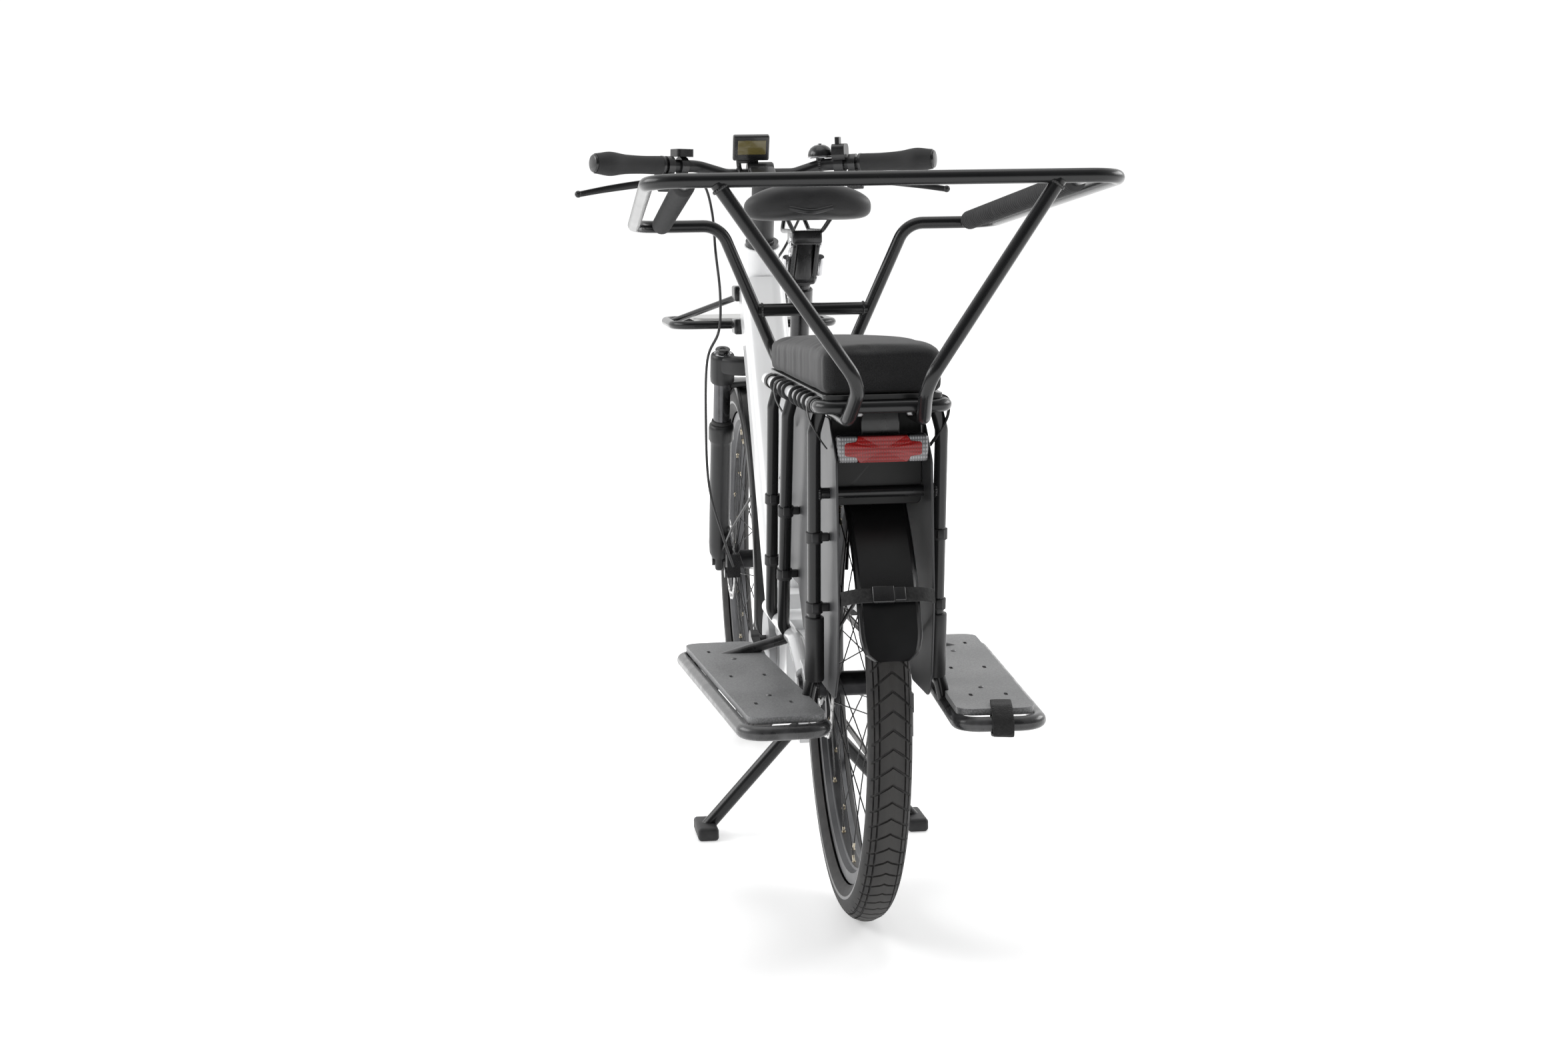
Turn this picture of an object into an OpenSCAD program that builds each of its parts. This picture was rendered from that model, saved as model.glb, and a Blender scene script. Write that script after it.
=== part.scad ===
// Long-tail cargo bicycle with a passenger bench, a safety bar, side footboards,
// a small front carrier and a two-legged centre stand.
// Millimetres. +X forward, +Y left, +Z up, and the floor at z = 0.
// The driving sizes are counted from the rear axle, and bike() centres the whole bicycle.

/* [Wheels] */
// Outer radius of both tyres
wheel_r = 341; // [320:1:360]
// Distance between the two axles
wheelbase = 1335; // [1250:1:1420]
// Width of the tyre's round section
tyre_d = 60; // [45:1:64]
// Depth of the rim
rim_depth = 22; // [16:1:30]
// Width of the rim
rim_w = 34; // [26:1:40]
// Spokes in each wheel, shared between two flanges
spoke_count = 32; // [24:4:36]
// Thickness of a spoke
spoke_d = 2; // [1.8:0.1:2.6]
// Diameter of the through axles
axle_d = 12; // [10:1:15]
// Diameter of the brake rotors
rotor_d = 160; // [140:10:180]

/* [Steering and fork] */
// Angle of the head tube from the floor
head_angle = 70; // [66:0.5:73]
// Distance of the front axle ahead of the steering axis
fork_offset = 44; // [36:1:50]
// Height of the top of the head tube above the axle, along the steering axis
head_top = 653; // [620:1:680]
// Length of the head tube
head_len = 176; // [150:1:190]
// Outer diameter of the head tube
head_d = 62; // [56:1:68]
// Diameter of the steerer tube
steerer_d = 30; // [28:0.5:38]
// Distance from the middle plane to each fork leg
leg_y = 64; // [62:0.5:72]
// Diameter of the inner fork tubes
stanchion_d = 32; // [30:1:36]
// Diameter of the outer fork legs
lower_d = 40; // [38:1:44]
// Height of the tall stem column
stem_h = 130; // [90:1:160]
// Reach of the stem's head in front of the column
stem_reach = 54; // [40:1:70]
// Half of the handlebar's width, to the ends of the grips
bar_half = 304; // [280:1:330]
// Diameter of the handlebar
bar_d = 22.2; // [22:0.1:24]
// Diameter of the grips
grip_d = 34; // [30:1:36]

/* [Frame] */
// Forward distance from the rear axle to the crank axle
crank_x = 680; // [650:1:710]
// Height of the crank axle
crank_z = 290; // [280:1:310]
// Width of the down tube, which holds the battery
down_w = 80; // [66:1:90]
// Depth of the down tube
down_depth = 92; // [80:1:104]
// Angle of the seat tube from the floor
seat_angle = 75; // [72:0.5:77]
// Outer diameter of the seat tube
seat_tube_d = 40; // [38:1:46]
// Diameter of the seat post
post_d = 31; // [27:0.2:34]
// Height of the seat tube's top
seat_top_z = 772; // [760:1:785]
// Distance from the middle plane to the raised stays
stay_y = 72; // [70:1:76]
// Height of the raised stays
stay_z = 390; // [384:1:400]

/* [Rack and bench] */
// Half of the width between the rack rails
rail_y = 84; // [80:1:90]
// Height of the rack rails
rail_z = 763; // [755:1:768]
// Diameter of the rack rails and legs
rail_d = 18; // [14:1:20]
// Rear end of the bench
bench_back = -300; // [-320:1:-285]
// Front end of the bench
bench_front = 306; // [290:1:325]
// Half of the bench cushion's width
bench_half = 92; // [84:1:100]
// Height of the top of the bench cushion
bench_top = 842; // [835:1:860]

/* [Safety bar] */
// Diameter of the safety bar's tube
ring_d = 19; // [16:0.5:22]
// Height of the rear of the ring
ring_back_z = 1059; // [1020:1:1080]
// Height of the front of the ring
ring_front_z = 996; // [970:1:1020]
// Half width of the ring at the rear, to the tube's middle
ring_back_y = 309; // [290:1:320]
// Half width of the ring at the front
ring_front_y = 280; // [270:1:300]
// Rear of the ring
ring_back_x = -355; // [-365:1:-345]
// Front of the ring
ring_front_x = 368; // [355:1:380]

/* [Footboards] */
// Height of the footboards' top face
board_top = 365; // [360:1:372]
// Thickness of the footboards
board_t = 9; // [6:0.5:12]
// Rear edge of the footboards
board_back = -340; // [-345:1:-320]
// Front edge of the footboards
board_front = 250; // [225:1:262]
// Width of each footboard
board_w = 104; // [95:1:110]
// Angle by which each board opens towards the front
board_splay = 3.4; // [2:0.2:4]
// Diameter of the tube under the boards
board_tube_d = 20; // [16:1:22]

/* [Drive] */
// Length of each crank arm
crank_len = 170; // [160:1:175]
// Angle of the left crank arm, turned up from straight ahead
crank_angle = 190; // [0:5:355]
// Teeth on the chainring
ring_teeth = 44; // [38:1:46]
// Teeth on the sprocket that the chain runs on
sprocket_teeth = 18; // [14:1:22]
// Sideways place of the chain, on the right
chain_y = -47; // [-49:1:-46]

/* [Stand] */
// Height of the stand's pivot
stand_z = 178; // [172:1:186]
// Forward place of the stand's pivot
stand_x = 478; // [470:1:490]
// Half width between the stand's feet
stand_half = 172; // [150:1:185]
// Distance of the feet ahead of the pivot
stand_lead = 26; // [18:1:34]

/* [Front carrier] */
// Height of the carrier's tube
carrier_z = 805; // [795:1:815]
// How far the rear of the carrier's frame lies behind the front axle
carrier_lag = 140; // [125:1:155]
// How far the front of the carrier's frame lies ahead of the front axle
carrier_lead = 105; // [65:1:145]
// Half width of the carrier's frame
carrier_half = 152; // [130:1:165]
// Diameter of the carrier's tube
carrier_d = 16; // [12:1:18]

/* [Hidden] */
// Segments of round faces
$fn = 48;
// Running clearance between a shaft and its bore, on the radius
run = 0.05;
// Gap between a piece and the seat that it is pressed or clamped on, on the radius
seat_gap = 0.05;
// Gap between pieces that move past each other
gap = 0.3;
// Overrun of a cut past a face
over = 1;
// Rearmost place of the safety bar's struts
strut_out_x = ring_back_x - 14;
// The whole bicycle's middle, ahead of the rear axle
x_mid = (wheelbase + wheel_r + strut_out_x - ring_d / 2) / 2;

// ---- helpers ----
module bike() translate([-x_mid, 0, 0]) children();
module both() {
  children();
  mirror([0, 1, 0]) children();
}
function flip(p) = [p.x, -p.y, p.z];
function unit(v) = v / norm(v);
function bend_at(a, b, c) = acos(max(-1, min(1, unit(b - a) * unit(c - b))));
function setback(a, b, c, r) = r * tan(bend_at(a, b, c) / 2);
// Turns +Z to the direction v
module point_at(v) rotate([0, acos(v.z / norm(v)), atan2(v.y, v.x)]) children();
// A straight round bar from a to b
module bar(a, b, d) translate(a) point_at(b - a) cylinder(d = d, h = norm(b - a));
// The bent corner of a tube at b, with middle radius r
module elbow(a, b, c, r, d) {
  u = unit(b - a);
  w = unit(c - b);
  side = unit(w - u * (u * w));
  s = b - u * setback(a, b, c, r);
  o = s + side * r;
  z = cross(u, side);
  multmatrix([
    [-side.x, u.x, z.x, o.x],
    [-side.y, u.y, z.y, o.y],
    [-side.z, u.z, z.z, o.z],
    [0, 0, 0, 1]
  ]) mirror([0, 0, 1]) rotate_extrude(angle = bend_at(a, b, c)) translate([r, 0]) circle(d = d);
}
// A round tube along a path of points, with corners of middle radius r
module bent_tube(path, r, d) {
  last = len(path) - 1;
  for (i = [0 : last - 1]) {
    u = unit(path[i + 1] - path[i]);
    a = i == 0 ? 0 : setback(path[i - 1], path[i], path[i + 1], r);
    b = i == last - 1 ? 0 : setback(path[i], path[i + 1], path[i + 2], r);
    bar(path[i] + u * a, path[i + 1] - u * b, d);
  }
  for (i = [1 : 1 : last - 1]) elbow(path[i - 1], path[i], path[i + 1], r, d);
}
// A box from its lowest corner to its highest corner
module block(low, high) translate(low) cube(high - low);
// A disc or ring about the Y axis, centred on y
module hoop_y(d, w, y = 0, hole = 0) translate([0, y + w / 2, 0]) rotate([90, 0, 0]) difference() {
  cylinder(d = d, h = w);
  if (hole > 0) translate([0, 0, -over]) cylinder(d = hole, h = w + 2 * over);
}
// A flat plate with round corners, lying on z = 0
module round_plate(size, r, t) linear_extrude(t) union() {
  translate([r, 0]) square([size.x - 2 * r, size.y]);
  translate([0, r]) square([size.x, size.y - 2 * r]);
  for (x = [r, size.x - r], y = [r, size.y - r]) translate([x, y]) circle(r);
}
// A tube's rings are [middle, direction] pairs, and its faces join each ring to the next
function carried(ways, i = 0, a = [0.31, 0.42, 0.85]) = i >= len(ways) ? []
  : let(n = unit(a - ways[i] * (a * ways[i]))) concat([n], carried(ways, i + 1, n));
module sweep_tube(rings, d, sides) {
  n = len(rings) - 1;
  ways = [for (g = rings) g[1]];
  across = carried(ways);
  points = [for (i = [0 : n], k = [0 : sides - 1]) let(q = k * 360 / sides)
    rings[i][0] + (across[i] * cos(q) + cross(ways[i], across[i]) * sin(q)) * d / 2];
  walls = [for (i = [0 : n - 1], k = [0 : sides - 1]) let(m = (k + 1) % sides)
    [i * sides + m, i * sides + k, (i + 1) * sides + k, (i + 1) * sides + m]];
  start = [[for (k = [0 : sides - 1]) k]];
  end = [[for (k = [0 : sides - 1]) n * sides + sides - 1 - k]];
  polyhedron(points, concat(walls, start, end));
}
// The rings of a corner at b with middle radius r
corner_steps = 4;
function corner_rings(a, b, c, r) = let(u = unit(b - a), w = unit(c - b),
  side = unit(w - u * (u * w)), o = b - u * setback(a, b, c, r) + side * r, turn = bend_at(a, b, c))
  [for (k = [0 : corner_steps]) let(q = turn * k / corner_steps)
    [o - side * r * cos(q) + u * r * sin(q), u * cos(q) + side * sin(q)]];
// A tube bent in space along a path of points, with corners of middle radius r
module swept_tube(path, r, d, sides = 12) {
  last = len(path) - 1;
  first_ring = [[path[0], unit(path[1] - path[0])]];
  last_ring = [[path[last], unit(path[last] - path[last - 1])]];
  corners = [for (i = [1 : 1 : last - 1], g = corner_rings(path[i - 1], path[i], path[i + 1], r)) g];
  sweep_tube(concat(first_ring, corners, last_ring), d, sides);
}
// A path on the left side, joined across the middle plane to its mirror image
function across_middle(path) = concat([for (i = [len(path) - 1 : -1 : 0]) flip(path[i])], path);
// A thin hose through points chosen by hand, on a smooth curve
function smooth(p, t) = let(n = len(p) - 1, i = min(floor(t), n - 1), f = t - i,
  a = p[max(i - 1, 0)], b = p[i], c = p[i + 1], d = p[min(i + 2, n)])
  0.5 * (2 * b + (c - a) * f + (2 * a - 5 * b + 4 * c - d) * f * f
  + (3 * b - 3 * c + d - a) * f * f * f);
hose_steps = 3;
hose_sides = 8;
module hose(points, d) {
  n = (len(points) - 1) * hose_steps;
  middle = [for (i = [0 : n]) smooth(points, i / hose_steps)];
  sweep_tube([for (i = [0 : n]) [middle[i], unit(middle[min(i + 1, n)] - middle[max(i - 1, 0)])]],
    d, hose_sides);
}

// ---- wheels ----
rim_r = wheel_r - 55;
hub_half = 32;
flange_r = 27;
hub_d = 36;
front_axle_half = 71;
rear_axle_half = 82;
rotor_t = 2;
front_rotor_y = 40;
rear_rotor_y = 42;
module at_rear() translate([0, 0, wheel_r]) children();
module at_front() translate([wheelbase, 0, wheel_r]) children();
module tyre() rotate([90, 0, 0]) rotate_extrude($fn = 96) difference() {
  translate([wheel_r - tyre_d / 2, 0]) circle(d = tyre_d);
  translate([wheel_r - tyre_d / 2, 0]) circle(d = tyre_d - 8);
  translate([0, -tyre_d]) square([rim_r, 2 * tyre_d]);
}
module rim() rotate([90, 0, 0]) rotate_extrude($fn = 96)
  polygon([[rim_r, -rim_w / 2], [rim_r, rim_w / 2], [rim_r - rim_depth * 0.6, rim_w / 2],
    [rim_r - rim_depth, rim_w * 0.2], [rim_r - rim_depth, -rim_w * 0.2],
    [rim_r - rim_depth * 0.6, -rim_w / 2]]);
module spokes() {
  step = 360 / spoke_count;
  for (i = [0 : spoke_count - 1]) {
    side = i % 2 == 0 ? 1 : -1;
    lead = floor(i / 2) % 2 == 0 ? 1 : -1;
    a = i * step;
    hub_a = a + lead * 62;
    from = [flange_r * cos(hub_a), side * (hub_half - 2 + 3.4 * lead), flange_r * sin(hub_a)];
    to = [(rim_r - rim_depth + 4) * cos(a), side * 3, (rim_r - rim_depth + 4) * sin(a)];
    bar(from, to, spoke_d, $fn = 8);
  }
}
module hub(left, right) difference() {
  union() {
    hoop_y(hub_d, left + right, (left - right) / 2);
    for (s = [-1, 1]) hoop_y(2 * flange_r + 8, 9, s * (hub_half - 2));
  }
  hoop_y(axle_d + 2 * run, 4 * hub_half, 0);
}
rotor_rim = 17;
module rotor(y) hoop_y(rotor_d, rotor_t, y, rotor_d - 2 * rotor_rim);
module rotor_spider(y) {
  difference() {
    union() {
      for (i = [0 : 5]) rotate([0, i * 60, 0])
        translate([14, y - rotor_t / 2, -5]) cube([rotor_d / 2 - 22, rotor_t, 10]);
      hoop_y(50, rotor_t, y);
    }
    hoop_y(hub_d + 2 * seat_gap, 4 * rotor_t, y);
  }
}
module rear_tyre() color("#2c2d30") bike() at_rear() tyre();
module rear_rim() color("#5a5c60") bike() at_rear() rim();
module rear_spokes() color("#1b1c1e") bike() at_rear() spokes();
module rear_hub() color("#1e1f21") bike() at_rear() hub(52, 35);
module rear_rotor() color("silver") bike() at_rear() {
  rotor(rear_rotor_y);
  rotor_spider(rear_rotor_y);
}
module front_tyre() color("#2c2d30") bike() at_front() tyre();
module front_rim() color("#5a5c60") bike() at_front() rim();
module front_spokes() color("#1b1c1e") bike() at_front() spokes();
module front_hub() color("#1e1f21") bike() at_front() hub(44, 44);
module front_rotor() color("silver") bike() at_front() {
  rotor(front_rotor_y);
  rotor_spider(front_rotor_y);
}

// ---- frame ----
steer_x = wheelbase - fork_offset / sin(head_angle);
// Local frame of the steering: z runs up the steering axis, x points forward across it
module on_steerer() translate([steer_x, 0, wheel_r]) rotate([0, head_angle - 90, 0]) children();
function steerer_point(x, y, h) = [
  steer_x + x * sin(head_angle) - h * cos(head_angle), y,
  wheel_r + x * cos(head_angle) + h * sin(head_angle)
];
head_bottom = head_top - head_len;
down_top = steerer_point(-8, 0, head_bottom + head_len * 0.52);
down_foot = [crank_x + 46, 0, crank_z + 44];
seat_foot = [crank_x + 14, 0, crank_z];
function seat_point(z) = [seat_foot.x - (z - seat_foot.z) / tan(seat_angle), 0, z];
post_bore = post_d + 2 * run;
motor_d = 150;
shell_w = 74;
module rounded_section(w, d, r) {
  square([d - 2 * r, w], center = true);
  square([d, w - 2 * r], center = true);
  for (x = [-1, 1], y = [-1, 1]) translate([x * (d / 2 - r), y * (w / 2 - r)]) circle(r);
}
module main_frame() color("white") bike() difference() {
  union() {
    on_steerer() translate([0, 0, head_bottom]) cylinder(d = head_d, h = head_len);
    translate(down_foot) point_at(down_top - down_foot)
      linear_extrude(norm(down_top - down_foot)) rounded_section(down_w, down_depth, 26);
    bar(seat_point(crank_z + 60), seat_point(seat_top_z), seat_tube_d);
    block([stand_x + 34, -35, crank_z - 62], [crank_x - 40, 35, crank_z + 34]);
    block([crank_x - 100, -31, crank_z + 20], [crank_x + 70, 31, crank_z + 94]);
    block([stand_x - 22, -22, stand_z - 20], [stand_x + 60, 22, crank_z + 10]);
  }
  on_steerer() translate([0, 0, head_bottom - over]) cylinder(d = 44, h = head_len + 2 * over);
  bar(seat_point(crank_z + 120), seat_point(seat_top_z + 9), post_bore);
  translate([crank_x, 0, crank_z]) hoop_y(motor_d + 0.2, 2 * shell_w);
  translate([stand_x, 0, stand_z]) hoop_y(stand_pivot_d + 2 * run, 80);
}
// Raised stays from the seat tube's foot to the rear dropouts, with gusset plates
stay_d = 24;
module rear_stays() color("white") bike() {
  both() {
    swept_tube([[crank_x - 80, 30, crank_z + 30], [crank_x - 185, 42, stay_z - 4],
      [crank_x - 250, stay_y, stay_z], [90, stay_y, stay_z], [6, stay_y, wheel_r + 14]],
      44, stay_d);
    difference() {
      block([-26, stay_y - 4, wheel_r - 26], [36, stay_y + 4, wheel_r + 30]);
      translate([0, 0, wheel_r]) hoop_y(axle_d, 4 * stay_y);
    }
    difference() {
      block([316, stay_y - 3, stay_z - 6], [372, stay_y + 3, stay_z + 62]);
      block([336, stay_y - 8, stay_z + 22], [350, stay_y + 8, stay_z + 50]);
    }
  }
  bar([crank_x - 150, -38, stay_z - 32], [crank_x - 150, 38, stay_z - 32], 18);
}
spindle_d = 20;
module motor() color("#3a3b3e") bike() translate([crank_x, 0, crank_z]) difference() {
  union() {
    hoop_y(motor_d, shell_w);
    hoop_y(108, 12, shell_w / 2 + 6);
    hoop_y(96, 3, -shell_w / 2 - 1.5);
  }
  hoop_y(spindle_d + 2 * run, 4 * shell_w);
}
module headset() color("#1c1c1e") bike() on_steerer() difference() {
  union() {
    translate([0, 0, head_top]) cylinder(d = head_d - 2, h = 8);
    translate([0, 0, head_top - 10]) cylinder(d = 44, h = 10);
    translate([0, 0, head_bottom - 8]) cylinder(d = head_d - 4, h = 8);
    translate([0, 0, head_bottom]) cylinder(d = 44, h = 10);
  }
  translate([0, 0, head_bottom - 20]) cylinder(d = steerer_d + 2 * run, h = head_len + 60);
}
clamp_h = 20;
module seat_clamp() color("#18181a") bike() difference() {
  translate(seat_point(seat_top_z - 12)) rotate([0, seat_angle - 90, 0]) union() {
    cylinder(d = seat_tube_d + 10, h = clamp_h);
    translate([-seat_tube_d / 2 - 16, -9, 2]) cube([20, 18, clamp_h - 4]);
  }
  bar(seat_point(seat_top_z - 40), seat_point(seat_top_z), seat_tube_d);
  bar(seat_point(seat_top_z - 1), seat_point(seat_top_z + 60), post_bore);
}
module rear_axle() color("#202022") bike() at_rear() {
  hoop_y(axle_d, 2 * rear_axle_half);
  for (s = [-1, 1]) hoop_y(24, 6, s * (stay_y + 7));
}
module caliper_body(y) {
  difference() {
    block([-22, y - 8, -16], [22, y + 17, 18]);
    block([-30, y - 2.5, -30], [30, y + 2.5, 8]);
  }
  translate([-14, y + 17, 0]) rotate([-90, 0, 0]) cylinder(d = 20, h = 4);
}
module rear_caliper() color("#161617") bike() at_rear() {
  rotate([0, 100, 0]) translate([0, 0, rotor_d / 2 + 3]) caliper_body(rear_rotor_y);
  block([20, stay_y - 17, -26], [72, stay_y - 4, 6]);
}

// ---- drive ----
pitch = 12.7;
ring_pr = pitch / 2 / sin(180 / ring_teeth);
sprocket_pr = pitch / 2 / sin(180 / sprocket_teeth);
module sprocket(teeth, t) {
  pr = pitch / 2 / sin(180 / teeth);
  rotate([90, 0, 0]) linear_extrude(t, center = true) difference() {
    circle(pr + 3, $fn = 96);
    for (i = [0 : teeth - 1]) rotate((i + 0.5) * 360 / teeth)
      translate([pr + 1.6, 0]) circle(3.4, $fn = 16);
  }
}
module cassette() color("#8a8c90") bike() at_rear() difference() {
  union() {
    for (i = [0 : 4]) translate([0, chain_y + (i - 2) * 4.6, 0])
      sprocket(sprocket_teeth + (i - 2) * 3, 2.2);
    hoop_y(38, 22.4, chain_y);
  }
  hoop_y(axle_d + 2 * run + 2, 80, chain_y);
}
module chainring() color("#1d1e20") bike() translate([crank_x, chain_y, crank_z]) difference() {
  sprocket(ring_teeth, 2.6);
  hoop_y(spindle_d, 10);
  for (i = [0 : 4]) rotate([0, i * 72 + 36, 0]) translate([ring_pr * 0.62, 0, 0]) hoop_y(32, 10);
}
crank_y = 62;
arm_w = 14;
crank_tip = crank_len * [cos(crank_angle), 0, sin(crank_angle)];
module crank_arms() color("#222326") bike() translate([crank_x, 0, crank_z])
  rotate([0, 90 - crank_angle, 0]) {
  hoop_y(spindle_d, 2 * crank_y);
  for (s = [-1, 1]) difference() {
    union() {
      hoop_y(38, arm_w, s * (crank_y + arm_w / 2));
      translate([-13, s * (crank_y + arm_w / 2) - arm_w / 2, s > 0 ? 0 : -crank_len])
        cube([26, arm_w, crank_len]);
      translate([0, 0, s * crank_len]) hoop_y(28, arm_w, s * (crank_y + arm_w / 2));
    }
    translate([0, 0, s * crank_len]) hoop_y(12 + 2 * run, 40, s * (crank_y + arm_w / 2));
  }
}
pedal_gap = 5;
pedal_w = 96;
pedal_l = 84;
pedal_h = 24;
module pedal() {
  y0 = crank_y + arm_w + pedal_gap;
  hoop_y(12, pedal_gap + arm_w + 20, crank_y + (pedal_gap + arm_w + 20) / 2);
  difference() {
    translate([-pedal_l / 2, y0, -pedal_h / 2]) round_plate([pedal_l, pedal_w], 14, pedal_h);
    for (x = [-pedal_l / 2 + 10, 12]) translate([x, y0 + 12, -pedal_h])
      cube([pedal_l / 2 - 22, pedal_w - 24, 2 * pedal_h]);
  }
}
module left_pedal() color("#202123") bike() translate([crank_x, 0, crank_z] + crank_tip) pedal();
module right_pedal() color("#202123") bike() translate([crank_x, 0, crank_z] - crank_tip)
  mirror([0, 1, 0]) pedal();
guide_z = -72;
tension_z = -126;
module derailleur() color("#19191b") bike() at_rear() {
  block([-6, -stay_y - 14, -46], [12, -stay_y - 4, -18]);
  block([-10, -stay_y - 12, guide_z - 8], [20, chain_y - 9, -40]);
  for (y = [chain_y - 8, chain_y + 6]) hull() {
    translate([16, 0, guide_z]) hoop_y(26, 2, y);
    translate([4, 0, tension_z]) hoop_y(26, 2, y);
  }
  translate([16, chain_y, guide_z]) sprocket(11, 2.4);
  translate([4, chain_y, tension_z]) sprocket(11, 2.4);
  translate([16, 0, guide_z]) hoop_y(8, 18, chain_y - 1);
  translate([4, 0, tension_z]) hoop_y(8, 18, chain_y - 1);
}
chain_t = 8;
plate_t = 1.2;
plate_y = 2.1;
pulley_x = 4;
pulley_wrap = 22;
pin_d = 4;
run_tilt = atan2(crank_z - wheel_r, crank_x);
run_turn = run_tilt + 90 + asin((ring_pr - sprocket_pr) / norm([crank_x, crank_z - wheel_r]));
run_back = [sprocket_pr * cos(run_turn), wheel_r + sprocket_pr * sin(run_turn)];
run_front = [crank_x + ring_pr * cos(run_turn), crank_z + ring_pr * sin(run_turn)];
// The chain as two rows of side plates in closed loops, joined by pins on the upper run
module chain() color("#6c6a66") bike() {
  for (s = [-1, 1]) translate([0, chain_y + s * plate_y + plate_t / 2, 0]) rotate([90, 0, 0])
    linear_extrude(plate_t) difference() {
      belt_outline(chain_t / 2);
      belt_outline(-chain_t / 2);
    }
  for (f = [0.12 : 0.08 : 0.8]) let(p = run_back + (run_front - run_back) * f)
    bar([p.x, chain_y - plate_y, p.y], [p.x, chain_y + plate_y, p.y], pin_d, $fn = 8);
}
module belt_outline(grow) {
  up = sprocket_pr + grow;
  big = ring_pr + grow;
  wrap = pulley_wrap + grow;
  low_z = wheel_r + tension_z;
  translate([0, wheel_r]) circle(up);
  translate([crank_x, crank_z]) circle(big);
  translate([pulley_x, low_z]) circle(wrap);
  polygon([
    [up * cos(run_turn), wheel_r + up * sin(run_turn)],
    [crank_x + big * cos(run_turn), crank_z + big * sin(run_turn)],
    [crank_x + big * cos(-92), crank_z + big * sin(-92)],
    [pulley_x + wrap * cos(-92), low_z + wrap * sin(-92)],
    [pulley_x - wrap, low_z],
    [-up, wheel_r]
  ]);
}

// ---- fork and steering ----
crown_top = 424;
crown_low = 366;
arch_low = 392;
stanchion_low = 150;
lower_top = 280;
leg_x = 38;
axle_h = -fork_offset / tan(head_angle);
steerer_top = head_top + 30;
module fork_crown() color("#2b2c2e") bike() on_steerer() {
  translate([0, 0, crown_top - 20]) cylinder(d = steerer_d, h = steerer_top - crown_top + 20);
  translate([0, 0, crown_top - 4]) cylinder(d = 46, h = 12);
  both() translate([leg_x, leg_y, 0]) {
    translate([0, 0, stanchion_low]) cylinder(d = stanchion_d, h = crown_top - stanchion_low - 10);
    translate([0, 0, crown_low]) cylinder(d = 46, h = crown_top - crown_low);
    translate([0, 0, crown_top]) cylinder(d = 26, h = 7);
  }
  block([-20, -leg_y, arch_low + 2], [leg_x + 16, leg_y, crown_top - 1]);
}
module fork_lowers() color("#303134") bike() on_steerer() difference() {
  union() {
    both() {
      translate([leg_x, leg_y, axle_h + 16]) cylinder(d = lower_d, h = lower_top - axle_h - 16);
      translate([leg_x, leg_y, lower_top - 34]) cylinder(d = lower_d + 8, h = 34);
      block([leg_x - 16, leg_y - 9, axle_h - 16], [leg_x + 20, leg_y + 8, axle_h + 30]);
      bar([leg_x + 30, leg_y - 8, 250], [leg_x + 34, leg_y - 14, 340], 14);
      block([leg_x, leg_y - 16, 244], [leg_x + 34, leg_y + 4, 262]);
    }
    bar([leg_x + 34, -leg_y + 10, 344], [leg_x + 34, leg_y - 10, 344], 14);
  }
  both() translate([leg_x, leg_y, stanchion_low - 60])
    cylinder(d = stanchion_d + 2 * run, h = lower_top);
  translate([fork_offset, 0, axle_h]) hoop_y(axle_d, 4 * leg_y);
}
module front_axle() color("#202022") bike() at_front() {
  hoop_y(axle_d, 2 * front_axle_half + 8);
  for (s = [-1, 1]) hoop_y(22, 5, s * (leg_y + 10.5));
}
module front_caliper() color("#161617") bike() on_steerer() translate([fork_offset, 0, axle_h]) {
  rotate([0, -caliper_turn, 0]) translate([0, 0, rotor_d / 2 + 2]) caliper_body(front_rotor_y);
  block([-70, leg_y - 18, 36], [-18, leg_y - 8, 66]);
}
guard_gap = 13;
guard_t = 2;
module fender(w, from, to) rotate([90, 0, 0]) rotate([0, 0, from])
  rotate_extrude(angle = to - from, $fn = 96) translate([wheel_r + guard_gap, -w / 2]) union() {
    square([guard_t, w]);
    translate([-8, 0]) square([8 + guard_t, guard_t]);
    translate([-8, w - guard_t]) square([8 + guard_t, guard_t]);
  }
module front_mudguard() color("#161618") bike() {
  at_front() fender(68, 50, 196);
  both() bar(steerer_point(leg_x - 12, leg_y + 16, axle_h + 30),
    [wheelbase - wheel_r - guard_gap + 4, 33, wheel_r - 40], 4, $fn = 12);
}
column_d = 42;
stem_top = head_top + 8 + stem_h;
bar_h = stem_top - 22;
module stem() color("#2a2b2d") bike() on_steerer() difference() {
  union() {
    translate([0, 0, head_top + 8 + gap]) cylinder(d = column_d, h = stem_h - gap);
    block([0, -19, bar_h - 17], [stem_reach, 19, bar_h + 17]);
    translate([stem_reach, 0, bar_h]) hoop_y(46, 44);
  }
  translate([0, 0, head_top]) cylinder(d = steerer_d, h = steerer_top - head_top);
  translate([stem_reach, 0, bar_h]) hoop_y(bar_d + 2 * seat_gap, 80);
}
bar_mid = steerer_point(stem_reach, 0, bar_h);
grip_z = 1105;
grip_out = [bar_mid.x - 82, bar_half, grip_z];
sweep = unit([52, -118, -4]);
grip_len = 132;
grip_in = grip_out + sweep * grip_len;
bar_knee = grip_out + sweep * (grip_len + 76);
module handlebar() color("#242527") bike()
  swept_tube(across_middle([bar_mid + [0, 62, 0], bar_knee, grip_out + sweep * 2]), 50, bar_d);
grip_bore = bar_d + 2 * seat_gap;
module grips() color("#1f2022") bike() both() difference() {
  union() {
    bar(grip_out, grip_in, grip_d);
    bar(grip_out - sweep * 4, grip_out, grip_d - 3);
    bar(grip_in, grip_in + sweep * 3, grip_d + 2);
  }
  bar(grip_out + sweep * 2, grip_in + sweep * 20, grip_bore);
}
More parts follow.
